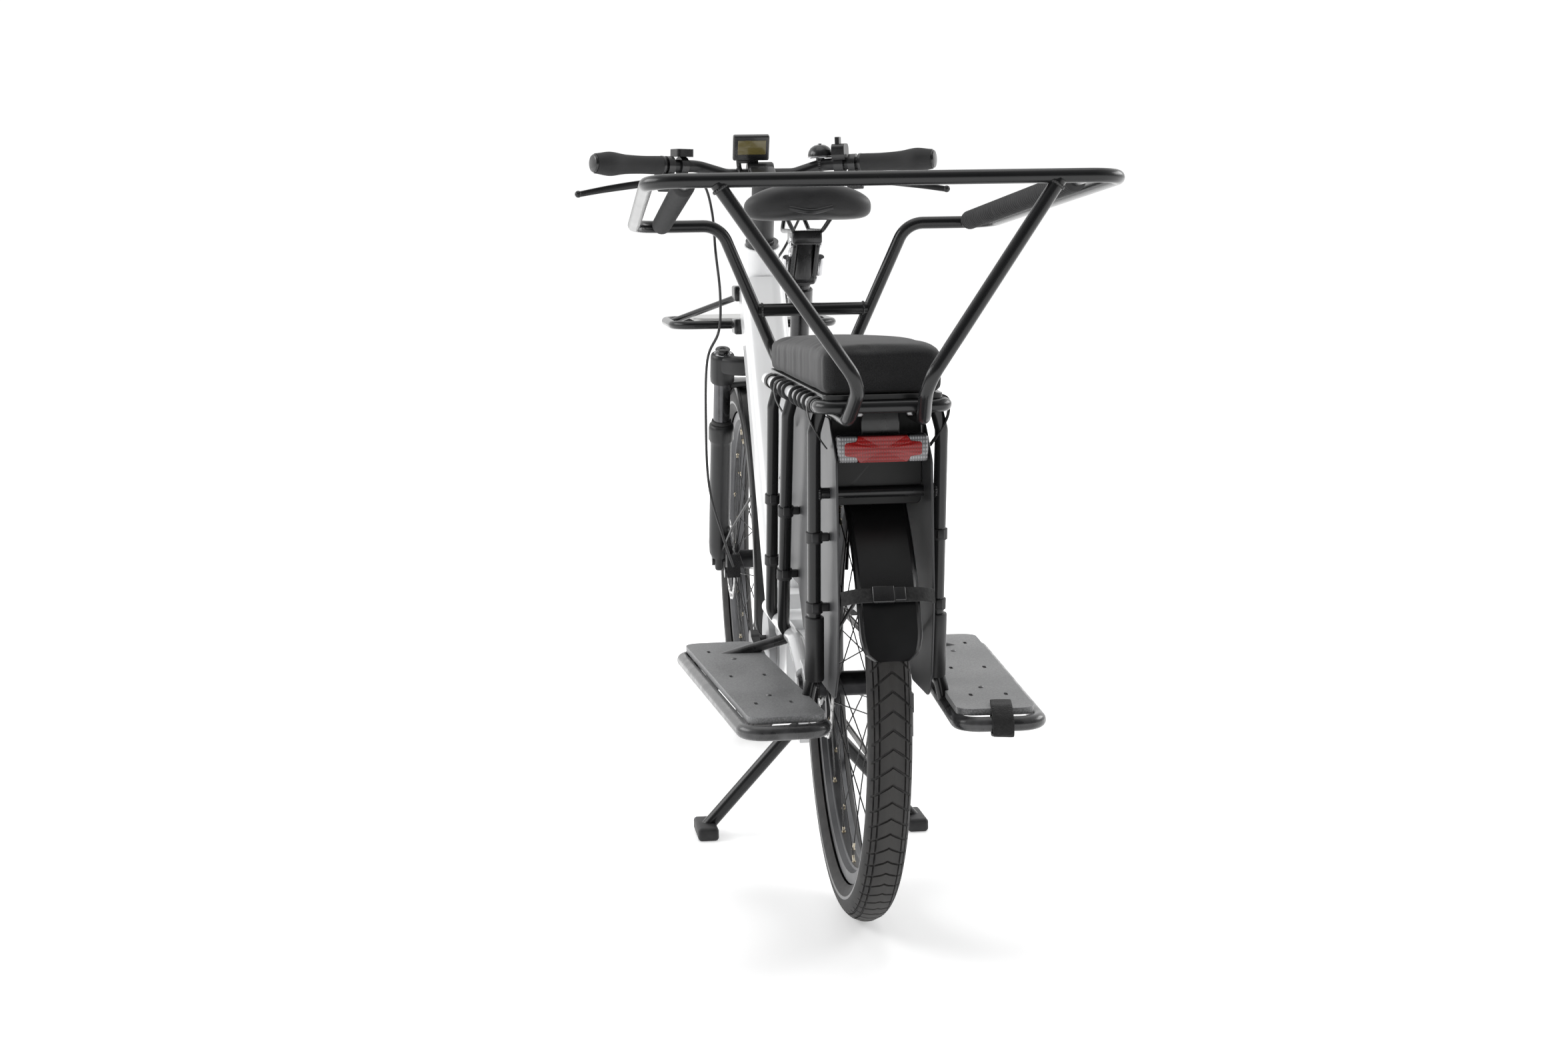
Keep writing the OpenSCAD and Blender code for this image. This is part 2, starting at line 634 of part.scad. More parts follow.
// A place s inboard of the grip's end: z runs inboard along the bar, x down and y forward
module on_grip(s) translate(grip_out + sweep * s) point_at(sweep) children();
lever_s = grip_len + 10;
lever_drop = 58;
lever_reach = 34;
pivot_d = 6;
module lever_clamp() on_grip(lever_s) difference() {
  union() {
    cylinder(d = bar_d + 12, h = 13);
    rotate([0, 0, -lever_drop]) {
      block([-9, 6, 0], [9, 26, 13]);
      block([-15, 20, -8], [15, 46, 22]);
      block([-9, 24, 20], [9, 42, 62]);
    }
  }
  translate([0, 0, -over]) cylinder(d = grip_bore, h = 60);
  rotate([0, 0, -lever_drop]) {
    block([-8, 24, -10], [8, 50, 12]);
    translate([-20, lever_reach, 0]) rotate([0, 90, 0]) cylinder(d = pivot_d, h = 40);
  }
}
module lever_clamps() color("#1a1a1c") bike() both() lever_clamp();
module lever() on_grip(lever_s) rotate([0, 0, -lever_drop]) translate([0, lever_reach, 0]) {
  translate([-14, 0, 0]) rotate([0, 90, 0]) cylinder(d = pivot_d - 2 * run, h = 28);
  block([-7, -5, -8], [7, 8, 6]);
  swept_tube([[0, 2, -4], [0, 6, -40], [0, 18, -104], [0, 30, -158]], 30, 10, 8);
  translate([0, 30, -158]) sphere(d = 13);
}
module left_lever() color("#1c1d1f") bike() lever();
module right_lever() color("#1c1d1f") bike() mirror([0, 1, 0]) lever();
module remote() color("#151617") bike() on_grip(grip_len + 37) difference() {
  union() {
    cylinder(d = bar_d + 10, h = 14);
    translate([-30, -16, -10]) rotate([0, 90, 0]) translate([-34, 0, 0]) round_plate([34, 34], 6, 14);
  }
  translate([0, 0, -30]) cylinder(d = grip_bore, h = 90);
}
module shifter() color("#171718") bike() mirror([0, 1, 0]) on_grip(grip_len + 32) difference() {
  union() {
    cylinder(d = bar_d + 12, h = 18);
    translate([-36, -26, -6]) round_plate([30, 34], 10, 24);
    block([-48, -20, 4], [-30, -6, 12]);
  }
  translate([0, 0, -30]) cylinder(d = grip_bore, h = 90);
}
bell_d = 46;
module bell() color("#161617") bike() mirror([0, 1, 0]) on_grip(grip_len + 72) difference() {
  union() {
    cylinder(d = bar_d + 8, h = 12);
    translate([-bar_d / 2 - 14, 0, 6]) rotate([0, 90, 0]) cylinder(d = 14, h = 12);
    translate([-bar_d / 2 - 12, 0, 6]) intersection() {
      sphere(d = bell_d);
      block([-bell_d, -bell_d, -bell_d], [0, bell_d, bell_d]);
    }
  }
  translate([0, 0, -30]) cylinder(d = grip_bore, h = 90);
}
display_size = [12, 66, 48];
module display() color("#17181a") bike() translate(bar_mid) {
  difference() {
    translate([0, 38, 0]) hoop_y(bar_d + 8, 14);
    hoop_y(grip_bore, 200);
  }
  bar([0, 38, 13], [-16, 41, 44], 8);
  translate([-9, 18, 27]) rotate([0, -24, 0])
    translate([-display_size.x / 2, -display_size.y / 2, 0]) cube(display_size);
}
hose_d = 5;
caliper_turn = 70;
caliper_far = rotor_d / 2 + 24;
caliper_in = steerer_point(fork_offset - caliper_far * sin(caliper_turn), front_rotor_y + 6,
  axle_h + caliper_far * cos(caliper_turn));
// A point s inboard of the grip's end, below and in front of the bar
function grip_point(s, down, ahead) = let(f = atan2(sweep.y, sweep.x), t = acos(sweep.z))
  grip_out + sweep * s + [cos(f) * cos(t), sin(f) * cos(t), -sin(t)] * down
  + [-sin(f), cos(f), 0] * ahead;
module front_hose() color("#141415") bike() hose([
  grip_point(203, 28, 17.5), grip_point(236, 34, 24), grip_point(254, 84, 26),
  steerer_point(8, 84, 640), steerer_point(0, 75, 560), steerer_point(0, 76, 486),
  steerer_point(6, 96, 424), steerer_point(-6, 98, 300), steerer_point(-26, 92, 180),
  steerer_point(-56, 68, 90), caliper_in], hose_d);
module rear_hose() color("#141415") bike() hose([
  flip(grip_point(203, 28, 17.5)), flip(grip_point(236, 34, 24)), flip(grip_point(258, 84, 30)),
  [wheelbase - 195, -52, 950], steerer_point(26, -24, head_bottom + 128)], hose_d);

// ---- seat ----
post_low = 620;
post_top = 900;
saddle_back = 388;
saddle_len = 268;
saddle_half = 101;
saddle_z = 1012;
saddle_t = 46;
saddle_rail_z = 985;
module seat_post() color("#1b1b1d") bike() {
  bar(seat_point(post_low), seat_point(post_top), post_d);
}
module seat_head() color("#141415") bike() {
  translate(seat_point(post_top)) {
    block([-32, -24, 1], [24, 24, 24]);
    block([-70, -21, 16], [-10, 21, saddle_rail_z - post_top - 20]);
    block([-96, -26, saddle_rail_z - post_top - 24], [-20, 26, saddle_rail_z - post_top + 3]);
  }
  both() swept_tube([[saddle_back + 22, 40, saddle_z], [saddle_back + 46, 22, saddle_rail_z],
    [saddle_back + 196, 22, saddle_rail_z], [saddle_back + 226, 12, saddle_z]], 18, 7, 8);
}
module saddle() color("#26272a") bike() translate([saddle_back, 0, saddle_z])
  linear_extrude(saddle_t) union() {
    translate([74, 0]) circle(r = 74);
    for (s = [-1, 1]) translate([56, s * (saddle_half - 50)]) circle(r = 50);
    polygon([[62, -saddle_half + 1], [136, -58], [saddle_len - 26, -25], [saddle_len - 26, 25],
      [136, 58], [62, saddle_half - 1]]);
    translate([saddle_len - 26, 0]) circle(r = 26);
  }

// ---- rack, bench and guards ----
deck_z = 774;
deck_t = 8;
module rack() color("white") bike() {
  swept_tube(across_middle([[bench_back - 4, rail_y, rail_z], [300, rail_y, rail_z],
    [seat_point(rail_z - 30).x - 20, 19, rail_z - 30]]), 34, rail_d);
  for (x = [-200, 0, 200]) bar([x, -rail_y, rail_z], [x, rail_y, rail_z], 12);
  translate([bench_back + 8, -rail_y + 4, deck_z - 3])
    round_plate([bench_front - bench_back - 16, 2 * rail_y - 8], 14, deck_t);
}
leg_top_z = 748;
leg_feet = [[214, 292], [40, 146], [-238, -196]];
leg_socket = [stay_z, stay_z, board_top - board_t - board_tube_d / 2];
module rack_legs() color("#161617") bike() both() for (i = [0 : 2]) {
  p = leg_feet[i];
  foot_y = i == 2 ? inner_tube_y(p[1]) : stay_y + 2;
  swept_tube([[p[0] - 4, rail_y - 6, rail_z - rail_d / 2 + 2], [p[0], rail_y + 2, leg_top_z - 22],
    [p[1], stay_y + 12, stay_z + 12], [p[1] + 4, foot_y, leg_socket[i]]], 26, rail_d);
}
module leg_clamps() color("#101011") bike() both() for (i = [0 : 2], f = [0.42, 0.72]) {
  p = leg_feet[i];
  top = [p[0], rail_y + 2, leg_top_z - 22];
  foot = [p[1], stay_y + 12, stay_z + 12];
  difference() {
    bar(top + (foot - top) * f, top + (foot - top) * (f + 0.05), rail_d + 12);
    bar(top, foot, rail_d);
  }
}
guard_in = 62;
guard_sheet = 3;
module wheel_guards() color("#2d2e31") bike() both() translate([0, guard_in, 0]) rotate([90, 0, 0])
  translate([0, 0, -guard_sheet]) linear_extrude(guard_sheet)
    polygon([[-296, 500], [-276, 400], [-252, 366], [-124, 366], [-110, 412], [60, 412],
      [110, 470], [262, 470], [250, 690], [200, 745], [-230, 745], [-290, 690]]);
module rear_mudguard() color("#131314") bike() {
  at_rear() fender(84, 20, 163);
  both() bar([-308, 40, wheel_r + 170], [-20, stay_y - 6, wheel_r + 20], 5, $fn = 12);
}
light_z = 706;
light_x = -280;
light_w = 122;
light_h = 37;
module rear_light() color("#1a1a1c") bike() {
  translate([light_x + 8, 0, light_z]) rotate([0, 90, 0]) rotate([0, 0, 90])
    translate([-light_w / 2, -light_h / 2, 0]) round_plate([light_w, light_h], 16, 16);
  block([light_x + 22, -24, light_z], [light_x + 30, 24, deck_z - 3]);
  block([light_x + 10, -24, deck_z - 9], [light_x + 30, 24, deck_z - 3]);
}
module rear_light_lens() color("red") bike()
  translate([light_x, 0, light_z]) rotate([0, 90, 0]) rotate([0, 0, 90])
    translate([-light_w / 2, -light_h / 2, -4]) round_plate([light_w, light_h], 16, 12);
module bench_cushion() color("#232427") bike()
  translate([bench_back, -bench_half, deck_z + deck_t + gap - 3])
    round_plate([bench_front - bench_back, 2 * bench_half], 22, bench_top - deck_z - deck_t - gap + 3);

// ---- safety bar ----
strut_y = 221;
strut_low = [strut_out_x, 43, 796];
module safety_ring() color("#151516") bike() {
  swept_tube(across_middle([[ring_back_x, ring_back_y, ring_back_z],
    [ring_front_x, ring_front_y, ring_front_z], [ring_front_x, hoop_y_in + 60, ring_front_z]]),
    46, ring_d);
}
hoop_y_in = 146;
hoop_cross_z = 864;
hoop_low = [404, 62, 800];
module safety_hoop() color("#151516") bike() {
  both() swept_tube([[ring_front_x, hoop_y_in + 60, ring_front_z],
    [ring_front_x, hoop_y_in, ring_front_z], hoop_low, [330, 52, rail_z - 4],
    [280, 52, rail_z - 4]], 40, ring_d);
  bar([391, -86, hoop_cross_z], [391, 86, hoop_cross_z], ring_d + 2);
}
module safety_struts() color("#151516") bike() both()
  swept_tube([[ring_back_x, strut_y, ring_back_z - 4], strut_low,
    [bench_back - 6, 50, rail_z - 16], [-180, 52, rail_z - 16]], 40, ring_d);
grip_y = [259, 238];
module ring_grips() color("#3b3c3f") bike() both() difference() {
  union() {
    bar([ring_back_x + 8, grip_y[0], ring_back_z], [ring_front_x - 8, grip_y[1], ring_front_z], 16);
    bar([ring_back_x + 60, grip_y[0] - 1.7, ring_back_z - 4.6],
      [ring_front_x - 30, grip_y[1] + 0.9, ring_front_z + 2.6], 29);
  }
  bar([ring_back_x, 0, ring_back_z], [ring_back_x, 320, ring_back_z], ring_d);
  bar([ring_front_x, 0, ring_front_z], [ring_front_x, 320, ring_front_z], ring_d);
}

// ---- footboards ----
board_back_y = 86;
tube_z = board_top - board_t - board_tube_d / 2;
module splayed() translate([board_back, board_back_y, 0]) rotate([0, 0, board_splay]) children();
board_len = board_front - board_back;
function inner_tube_y(x) = board_back_y + 2 + (x - board_back) * tan(board_splay);
module footboard_frames() color("#141415") bike() both() {
  splayed() {
    bent_tube([[60, 2, tube_z], [-10, 2, tube_z], [-10, board_w + 6, tube_z],
      [board_len - 6, board_w + 6, tube_z], [board_len - 6, 2, tube_z], [board_len - 70, 2, tube_z]],
      30, board_tube_d);
    bar([60, 2, tube_z], [board_len - 70, 2, tube_z], board_tube_d);
  }
  bar([150, stay_y, stay_z - 4], [150, inner_tube_y(150), tube_z], 16);
}
module footboards() color("#4a4b4d") bike() both() difference() {
  splayed() difference() {
    translate([0, 0, board_top - board_t]) round_plate([board_len, board_w], 22, board_t);
    for (x = [90, board_len / 2, board_len - 90], y = [28, board_w - 28])
      translate([x, y, board_top - board_t - over]) round_plate([16, 5], 2.4, board_t + 2 * over);
  }
  translate([leg_feet[2][1], stay_y + 14, 0]) cylinder(d = rail_d + 12, h = 2 * board_top);
}

// ---- front carrier ----
carrier_r = 40;
carrier_back = wheelbase - carrier_lag;
carrier_front = wheelbase + carrier_lead;
head_face = steerer_point(head_d / 2, 0, head_bottom + 60);
module carrier() color("#18181a") bike() {
  both() bent_tube([[carrier_back + 10, 50, carrier_z], [carrier_back + 10, carrier_half, carrier_z],
    [carrier_front, carrier_half, carrier_z], [carrier_front, 0, carrier_z]], carrier_r, carrier_d);
  bar([carrier_back + 10, -50, carrier_z], [carrier_back + 10, 50, carrier_z], carrier_d);
  both() bar([carrier_back + 150, carrier_half - 4, carrier_z], [head_face.x + 2, 30, 862], 12);
  both() bar([head_face.x - 12, 34, carrier_z], [carrier_back + 10, 40, carrier_z], 14);
  difference() {
    union() {
      block([head_face.x - 44, -48, 852], [head_face.x + 10, 48, 880]);
      block([head_face.x - 34, -48, carrier_z - 14], [head_face.x + 20, 48, carrier_z + 14]);
    }
    on_steerer() translate([0, 0, head_bottom - 60]) cylinder(d = head_d, h = head_len + 90);
    translate(down_foot) point_at(down_top - down_foot)
      linear_extrude(2 * norm(down_top)) rounded_section(down_w, down_depth, 26);
  }
  translate([carrier_back + 12, -carrier_half + 46, carrier_z + 4])
    round_plate([carrier_front - carrier_back - 14, 2 * carrier_half - 92], 12, 6);
}

// ---- stand ----
stand_pivot_d = 24;
stand_tube = 22;
foot_h = 11;
module kickstand() color("#1b1b1d") bike() {
  translate([stand_x, 0, stand_z]) hoop_y(stand_pivot_d, 46);
  swept_tube(across_middle([[stand_x, 30, stand_z], [stand_x + stand_lead, stand_half, foot_h + 3]]),
    26, stand_tube);
  both() translate([stand_x + stand_lead - 46, stand_half - 16, 0])
    round_plate([92, 34], 12, 2 * foot_h);
}

rear_tyre();
rear_rim();
rear_spokes();
rear_hub();
rear_rotor();
front_tyre();
front_rim();
front_spokes();
front_hub();
front_rotor();
main_frame();
rear_stays();
motor();
headset();
seat_clamp();
rear_axle();
rear_caliper();
derailleur();
chain();
cassette();
chainring();
crank_arms();
left_pedal();
right_pedal();
fork_crown();
fork_lowers();
front_axle();
front_caliper();
front_mudguard();
stem();
handlebar();
grips();
lever_clamps();
left_lever();
right_lever();
remote();
shifter();
bell();
display();
front_hose();
rear_hose();
seat_post();
seat_head();
saddle();
rack();
rack_legs();
leg_clamps();
wheel_guards();
rear_mudguard();
rear_light();
rear_light_lens();
bench_cushion();
safety_ring();
safety_struts();
safety_hoop();
ring_grips();
footboard_frames();
footboards();
carrier();
kickstand();
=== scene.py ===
import math

import bmesh
import bpy
import numpy as np
from mathutils import Matrix, Vector


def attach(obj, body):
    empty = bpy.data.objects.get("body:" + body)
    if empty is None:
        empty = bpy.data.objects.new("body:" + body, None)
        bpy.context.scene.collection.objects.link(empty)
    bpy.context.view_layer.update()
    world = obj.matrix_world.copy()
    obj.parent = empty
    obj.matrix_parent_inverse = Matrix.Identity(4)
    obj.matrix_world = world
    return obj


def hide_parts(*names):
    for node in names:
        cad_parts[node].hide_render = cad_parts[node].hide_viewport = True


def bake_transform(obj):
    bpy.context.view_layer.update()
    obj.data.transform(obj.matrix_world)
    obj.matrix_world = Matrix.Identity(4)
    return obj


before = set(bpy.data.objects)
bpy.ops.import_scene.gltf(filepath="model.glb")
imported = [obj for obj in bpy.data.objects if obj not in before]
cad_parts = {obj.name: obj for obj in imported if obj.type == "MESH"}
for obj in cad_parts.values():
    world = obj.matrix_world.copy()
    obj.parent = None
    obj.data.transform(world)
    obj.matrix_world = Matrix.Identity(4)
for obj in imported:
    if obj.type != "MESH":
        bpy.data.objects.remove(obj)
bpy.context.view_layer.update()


# ---- Camera ----
# The view is from behind the bicycle, a little to its left and at saddle height,
# with a long lens, so the far wheel is only slightly smaller than the near one.
CAMERA_PLACE = (-4.24722, 0.54231, 1.02746)
CAMERA_YAW, CAMERA_PITCH, CAMERA_ROLL = (math.radians(a) for a in (-7.03, -7.08, -0.88))

forward = Vector((
    math.cos(CAMERA_YAW) * math.cos(CAMERA_PITCH),
    math.sin(CAMERA_YAW) * math.cos(CAMERA_PITCH),
    math.sin(CAMERA_PITCH),
))
level = Vector((math.sin(CAMERA_YAW), -math.cos(CAMERA_YAW), 0))
upward = level.cross(forward)
right = math.cos(CAMERA_ROLL) * level + math.sin(CAMERA_ROLL) * upward
top = -math.sin(CAMERA_ROLL) * level + math.cos(CAMERA_ROLL) * upward
camera = bpy.data.objects.new("camera", bpy.data.cameras.new("camera"))
camera.data.lens = 58.79
camera.data.sensor_width = 36
camera.data.clip_end = 60
camera.matrix_world = Matrix((
    (right.x, top.x, -forward.x, CAMERA_PLACE[0]),
    (right.y, top.y, -forward.y, CAMERA_PLACE[1]),
    (right.z, top.z, -forward.z, CAMERA_PLACE[2]),
    (0, 0, 0, 1),
))
bpy.context.scene.collection.objects.link(camera)
bpy.context.scene.camera = camera
bpy.context.scene.view_settings.view_transform = "Standard"


# ---- Studio floor and light ----
# A pale floor runs out of sight on every side. Two long soft boxes and one overhead light
# shape the tubes, and the room is bright in front of the bicycle and dim behind the camera.
def plain_material(name, colour, roughness):
    """A material with one shader, and its node tree, with every constant on the shader's own socket."""
    material = bpy.data.materials.new(name)
    material.use_nodes = True
    shader = material.node_tree.nodes["Principled BSDF"]
    shader.inputs["Base Color"].default_value = (*colour, 1)
    shader.inputs["Roughness"].default_value = roughness
    return material, material.node_tree, shader


floor_mesh = bpy.data.meshes.new("floor")
floor_mesh.from_pydata([(-14, -14, 0), (14, -14, 0), (14, 14, 0), (-14, 14, 0)], [], [(0, 1, 2, 3)])
floor = bpy.data.objects.new("floor", floor_mesh)
bpy.context.scene.collection.objects.link(floor)
floor_finish, floor_tree, floor_shader = plain_material("floor_paint", (0.93, 0.93, 0.93), 0.38)
floor_shader.inputs["Specular IOR Level"].default_value = 0.25
floor_mesh.materials.append(floor_finish)
# The floor glows more the farther it is from the bicycle, so it never turns grey.
floor_way = floor_tree.nodes.new("ShaderNodeTexCoord")
floor_far = floor_tree.nodes.new("ShaderNodeVectorMath")
floor_far.operation = "LENGTH"
floor_glow = floor_tree.nodes.new("ShaderNodeMapRange")
floor_glow.inputs["From Min"].default_value = 0.9
floor_glow.inputs["From Max"].default_value = 2.6
floor_glow.inputs["To Min"].default_value = 0.36
floor_glow.inputs["To Max"].default_value = 0.9
floor_tree.links.new(floor_way.outputs["Object"], floor_far.inputs[0])
floor_tree.links.new(floor_far.outputs["Value"], floor_glow.inputs["Value"])
floor_tree.links.new(floor_glow.outputs[0], floor_shader.inputs["Emission Strength"])
floor_shader.inputs["Emission Color"].default_value = (1, 1, 1, 1)

world = bpy.data.worlds.new("room")
bpy.context.scene.world = world
world.use_nodes = True
room = world.node_tree
room_way = room.nodes.new("ShaderNodeTexCoord")
room_split = room.nodes.new("ShaderNodeSeparateXYZ")
room_range = room.nodes.new("ShaderNodeMapRange")
room_range.inputs["From Min"].default_value = -0.9
room_range.inputs["From Max"].default_value = 0.55
room_range.inputs["To Min"].default_value = 0.04
room_range.inputs["To Max"].default_value = 1.08
room.links.new(room_way.outputs["Generated"], room_split.inputs[0])
room.links.new(room_split.outputs["X"], room_range.inputs["Value"])
# The camera itself sees a white room in every direction.
room_seen = room.nodes.new("ShaderNodeLightPath")
room_level = room.nodes.new("ShaderNodeMath")
room_level.operation = "MAXIMUM"
room.links.new(room_seen.outputs["Is Camera Ray"], room_level.inputs[0])
room.links.new(room_range.outputs[0], room_level.inputs[1])
room.links.new(room_level.outputs[0], room.nodes["Background"].inputs["Strength"])
room.nodes["Background"].inputs["Color"].default_value = (1, 1, 1, 1)

for light_name, place, aim, size, watts in (
    ("left_box", (0.2, 3.6, 2.6), (0, 0, 0.6), (3.4, 1.6), 70),
    ("right_box", (0.6, -3.8, 2.4), (0, 0, 0.6), (3.2, 1.4), 55),
    ("overhead", (-0.3, 0.2, 4.4), (0, 0, 0), (3.0, 3.0), 30),
):
    lamp = bpy.data.lights.new(light_name, "AREA")
    lamp.shape = "RECTANGLE"
    lamp.size, lamp.size_y = size
    lamp.energy = watts
    light = bpy.data.objects.new(light_name, lamp)
    light.location = place
    light.rotation_euler = (Vector(aim) - Vector(place)).to_track_quat("-Z", "Y").to_euler()
    bpy.context.scene.collection.objects.link(light)


# ---- Brake hoses ----
# Two thin rubber-covered hydraulic hoses. The front one runs from the left lever down
# beside the fork to its caliper, and the right one goes into the frame at the head tube.
REAR_AXLE_X = -0.64875
WHEEL_R, WHEELBASE = 341.0, 1335.0
HEAD_ANGLE = math.radians(70)
FORK_OFFSET, HEAD_TOP, HEAD_LENGTH = 44.0, 653.0, 176.0
STEER_X = WHEELBASE - FORK_OFFSET / math.sin(HEAD_ANGLE)
AXLE_H = -FORK_OFFSET / math.tan(HEAD_ANGLE)
HEAD_BOTTOM = HEAD_TOP - HEAD_LENGTH


def placed(points):
    """Millimetres ahead of the rear axle, to its left and above the floor, as metres in the part's frame."""
    return np.asarray(points, float) / 1000 + np.array([REAR_AXLE_X, 0, 0])


def unit(v):
    """The vector, or each vector of an array, divided by its length."""
    v = np.asarray(v, float)
    return v / np.linalg.norm(v, axis=-1, keepdims=True)


def mirrored(points):
    """The same points on the bicycle's other side."""
    return np.asarray(points, float) * np.array([1.0, -1.0, 1.0])


def steerer_point(x, y, h):
    """A point x ahead of the steering axis, y to the left and h up along it from the axle's height."""
    s, c = math.sin(HEAD_ANGLE), math.cos(HEAD_ANGLE)
    return np.array([STEER_X + x * s - h * c, y, WHEEL_R + x * c + h * s])


def curve_through(points, per_span):
    """A smooth curve through points. On each span it is the cubic whose slope at a point is half the step
    between that point's neighbours."""
    p = np.asarray(points, float)
    p = np.vstack([p[:1], p, p[-1:]])
    t = np.linspace(0, 1, per_span, endpoint=False)[:, None]
    spans = [
        0.5 * (2 * b + (c - a) * t + (2 * a - 5 * b + 4 * c - d) * t**2 + (3 * b - 3 * c + d - a) * t**3)
        for a, b, c, d in zip(p[:-3], p[1:-2], p[2:-1], p[3:])
    ]
    return np.vstack([*spans, p[-2:-1]])


def bent_path(points, radius, steps=9):
    """Straight runs joined at each corner by an arc of the given radius, which touches both runs."""
    p = np.asarray(points, float)
    out = [p[0][None]]
    for a, b, c in zip(p[:-2], p[1:-1], p[2:]):
        u, w = unit(b - a), unit(c - b)
        turn = math.acos(np.clip(u @ w, -1, 1))
        if turn < 1e-4:
            continue
        side = unit(w - u * (u @ w))
        middle = b - u * radius * math.tan(turn / 2) + side * radius
        q = np.linspace(0, turn, steps)[:, None]
        out.append(middle - side * radius * np.cos(q) + u * radius * np.sin(q))
    return np.vstack([*out, p[-1][None]])


def carried_axes(path, first=None):
    """Two axes across a path at each of its points, turned as little as possible from one to the next."""
    along = np.gradient(path, axis=0)
    along = unit(along)
    across = np.array([0.31, 0.42, 0.85]) if first is None else np.asarray(first, float)
    kept = []
    for way in along:
        across = unit(across - way * (across @ way))
        kept.append(across)
    across = np.array(kept)
    return across, np.cross(along, across)


def swept(path, section, first=None, scale=None):
    """A section of (a, b) points carried along a path: point = path + (a * across + b * other across) * scale there."""
    path, section = np.asarray(path, float), np.asarray(section, float)
    a, b = carried_axes(path, first)
    k = np.ones(len(path)) if scale is None else np.asarray(scale, float)
    return path[:, None] + k[:, None, None] * (
        section[None, :, :1] * a[:, None] + section[None, :, 1:] * b[:, None]
    )


def round_section(diameter, sides=20):
    """Points of a circle."""
    q = np.arange(sides) * 2 * math.pi / sides
    return np.stack([np.cos(q), np.sin(q)], 1) * diameter / 2


def grid_faces(rows, columns, start, caps):
    """Quads between neighbouring rows of a grid that closes round its columns, and a fan to one more point
    at each capped end."""
    i = np.arange(rows - 1)[:, None]
    j = np.arange(columns)[None]
    k = (j + 1) % columns
    quads = np.stack([i * columns + j, i * columns + k, (i + 1) * columns + k, (i + 1) * columns + j], -1)
    fans = []
    if caps:
        j = np.arange(columns)
        k = (j + 1) % columns
        first = np.full(columns, rows * columns)
        fans = [
            np.stack([k, j, first], 1) + start,
            np.stack([j + (rows - 1) * columns, k + (rows - 1) * columns, first + 1], 1) + start,
        ]
    return (quads.reshape(-1, 4) + start).tolist() + [f for fan in fans for f in fan.tolist()]


def build(name, grids, finish, body=None, replaces=(), caps=True, sharp=38, merge=1e-6):
    """One mesh of closed grids of points in millimetres, merged at its seams and poles, with outward faces."""
    points, faces, start = [], [], 0
    for grid in grids:
        grid = np.asarray(grid, float)
        rows, columns = grid.shape[:2]
        block = [grid.reshape(-1, 3)]
        if caps:
            block += [grid[0].mean(0)[None], grid[-1].mean(0)[None]]
        faces += grid_faces(rows, columns, start, caps)
        points += block
        start += sum(len(b) for b in block)
    mesh = bpy.data.meshes.new(name)
    mesh.from_pydata(placed(np.vstack(points)).tolist(), [], faces)
    work = bmesh.new()
    work.from_mesh(mesh)
    bmesh.ops.remove_doubles(work, verts=work.verts, dist=merge)
    bmesh.ops.dissolve_degenerate(work, edges=work.edges, dist=1e-7)
    bmesh.ops.recalc_face_normals(work, faces=work.faces)
    work.to_mesh(mesh)
    work.free()
    mesh.shade_smooth()
    mesh.set_sharp_from_angle(angle=math.radians(sharp))
    mesh.materials.append(finish)
    piece = bpy.data.objects.new(name, mesh)
    bpy.context.scene.collection.objects.link(piece)
    if body:
        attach(piece, body)
    if replaces:
        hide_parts(*replaces)
    return piece


def new_group(name, numbers, colours=(), outputs=()):
    """An empty shader node group with number and colour inputs, and outputs given as (name, kind)."""
    group = bpy.data.node_groups.new(name, "ShaderNodeTree")
    for title, value in numbers:
        socket = group.interface.new_socket(name=title, in_out="INPUT", socket_type="NodeSocketFloat")
        socket.default_value = value
    for title in colours:
        group.interface.new_socket(name=title, in_out="INPUT", socket_type="NodeSocketColor")
    for title, kind in outputs:
        group.interface.new_socket(name=title, in_out="OUTPUT", socket_type=kind)
    way_in = group.nodes.new("NodeGroupInput")
    way_out = group.nodes.new("NodeGroupOutput")
    return group, way_in, way_out


def add(tree, kind, **settings):
    """A node of that kind, with inputs set by name and the node's own properties set by lower-case name."""
    node = tree.nodes.new(kind)
    for key, value in settings.items():
        if hasattr(node, key):
            setattr(node, key, value)
        else:
            node.inputs[key.replace("_", " ")].default_value = value
    return node


def noise_node(tree, coordinates, scale, detail):
    """A noise texture that reads the given coordinates, with its scale from a socket or a number."""
    node = add(tree, "ShaderNodeTexNoise")
    node.inputs["Detail"].default_value = detail
    tree.links.new(coordinates, node.inputs["Vector"])
    if isinstance(scale, (int, float)):
        node.inputs["Scale"].default_value = scale
    else:
        tree.links.new(scale, node.inputs["Scale"])
    return node.outputs["Fac"]


def ranged(tree, value, low, high, to_low, to_high):
    """Map Range: from low..high to to_low..to_high, each a number or a socket."""
    node = add(tree, "ShaderNodeMapRange")
    tree.links.new(value, node.inputs["Value"])
    for key, given in (("From Min", low), ("From Max", high), ("To Min", to_low), ("To Max", to_high)):
        if isinstance(given, (int, float)):
            node.inputs[key].default_value = given
        else:
            tree.links.new(given, node.inputs[key])
    return node.outputs[0]


def maths(tree, operation, a, b=None):
    """A Math node on sockets or numbers."""
    node = add(tree, "ShaderNodeMath")
    node.operation = operation
    for slot_index, given in enumerate((a, b)):
        if given is None:
            continue
        if isinstance(given, (int, float)):
            node.inputs[slot_index].default_value = given
        else:
            tree.links.new(given, node.inputs[slot_index])
    return node.outputs[0]


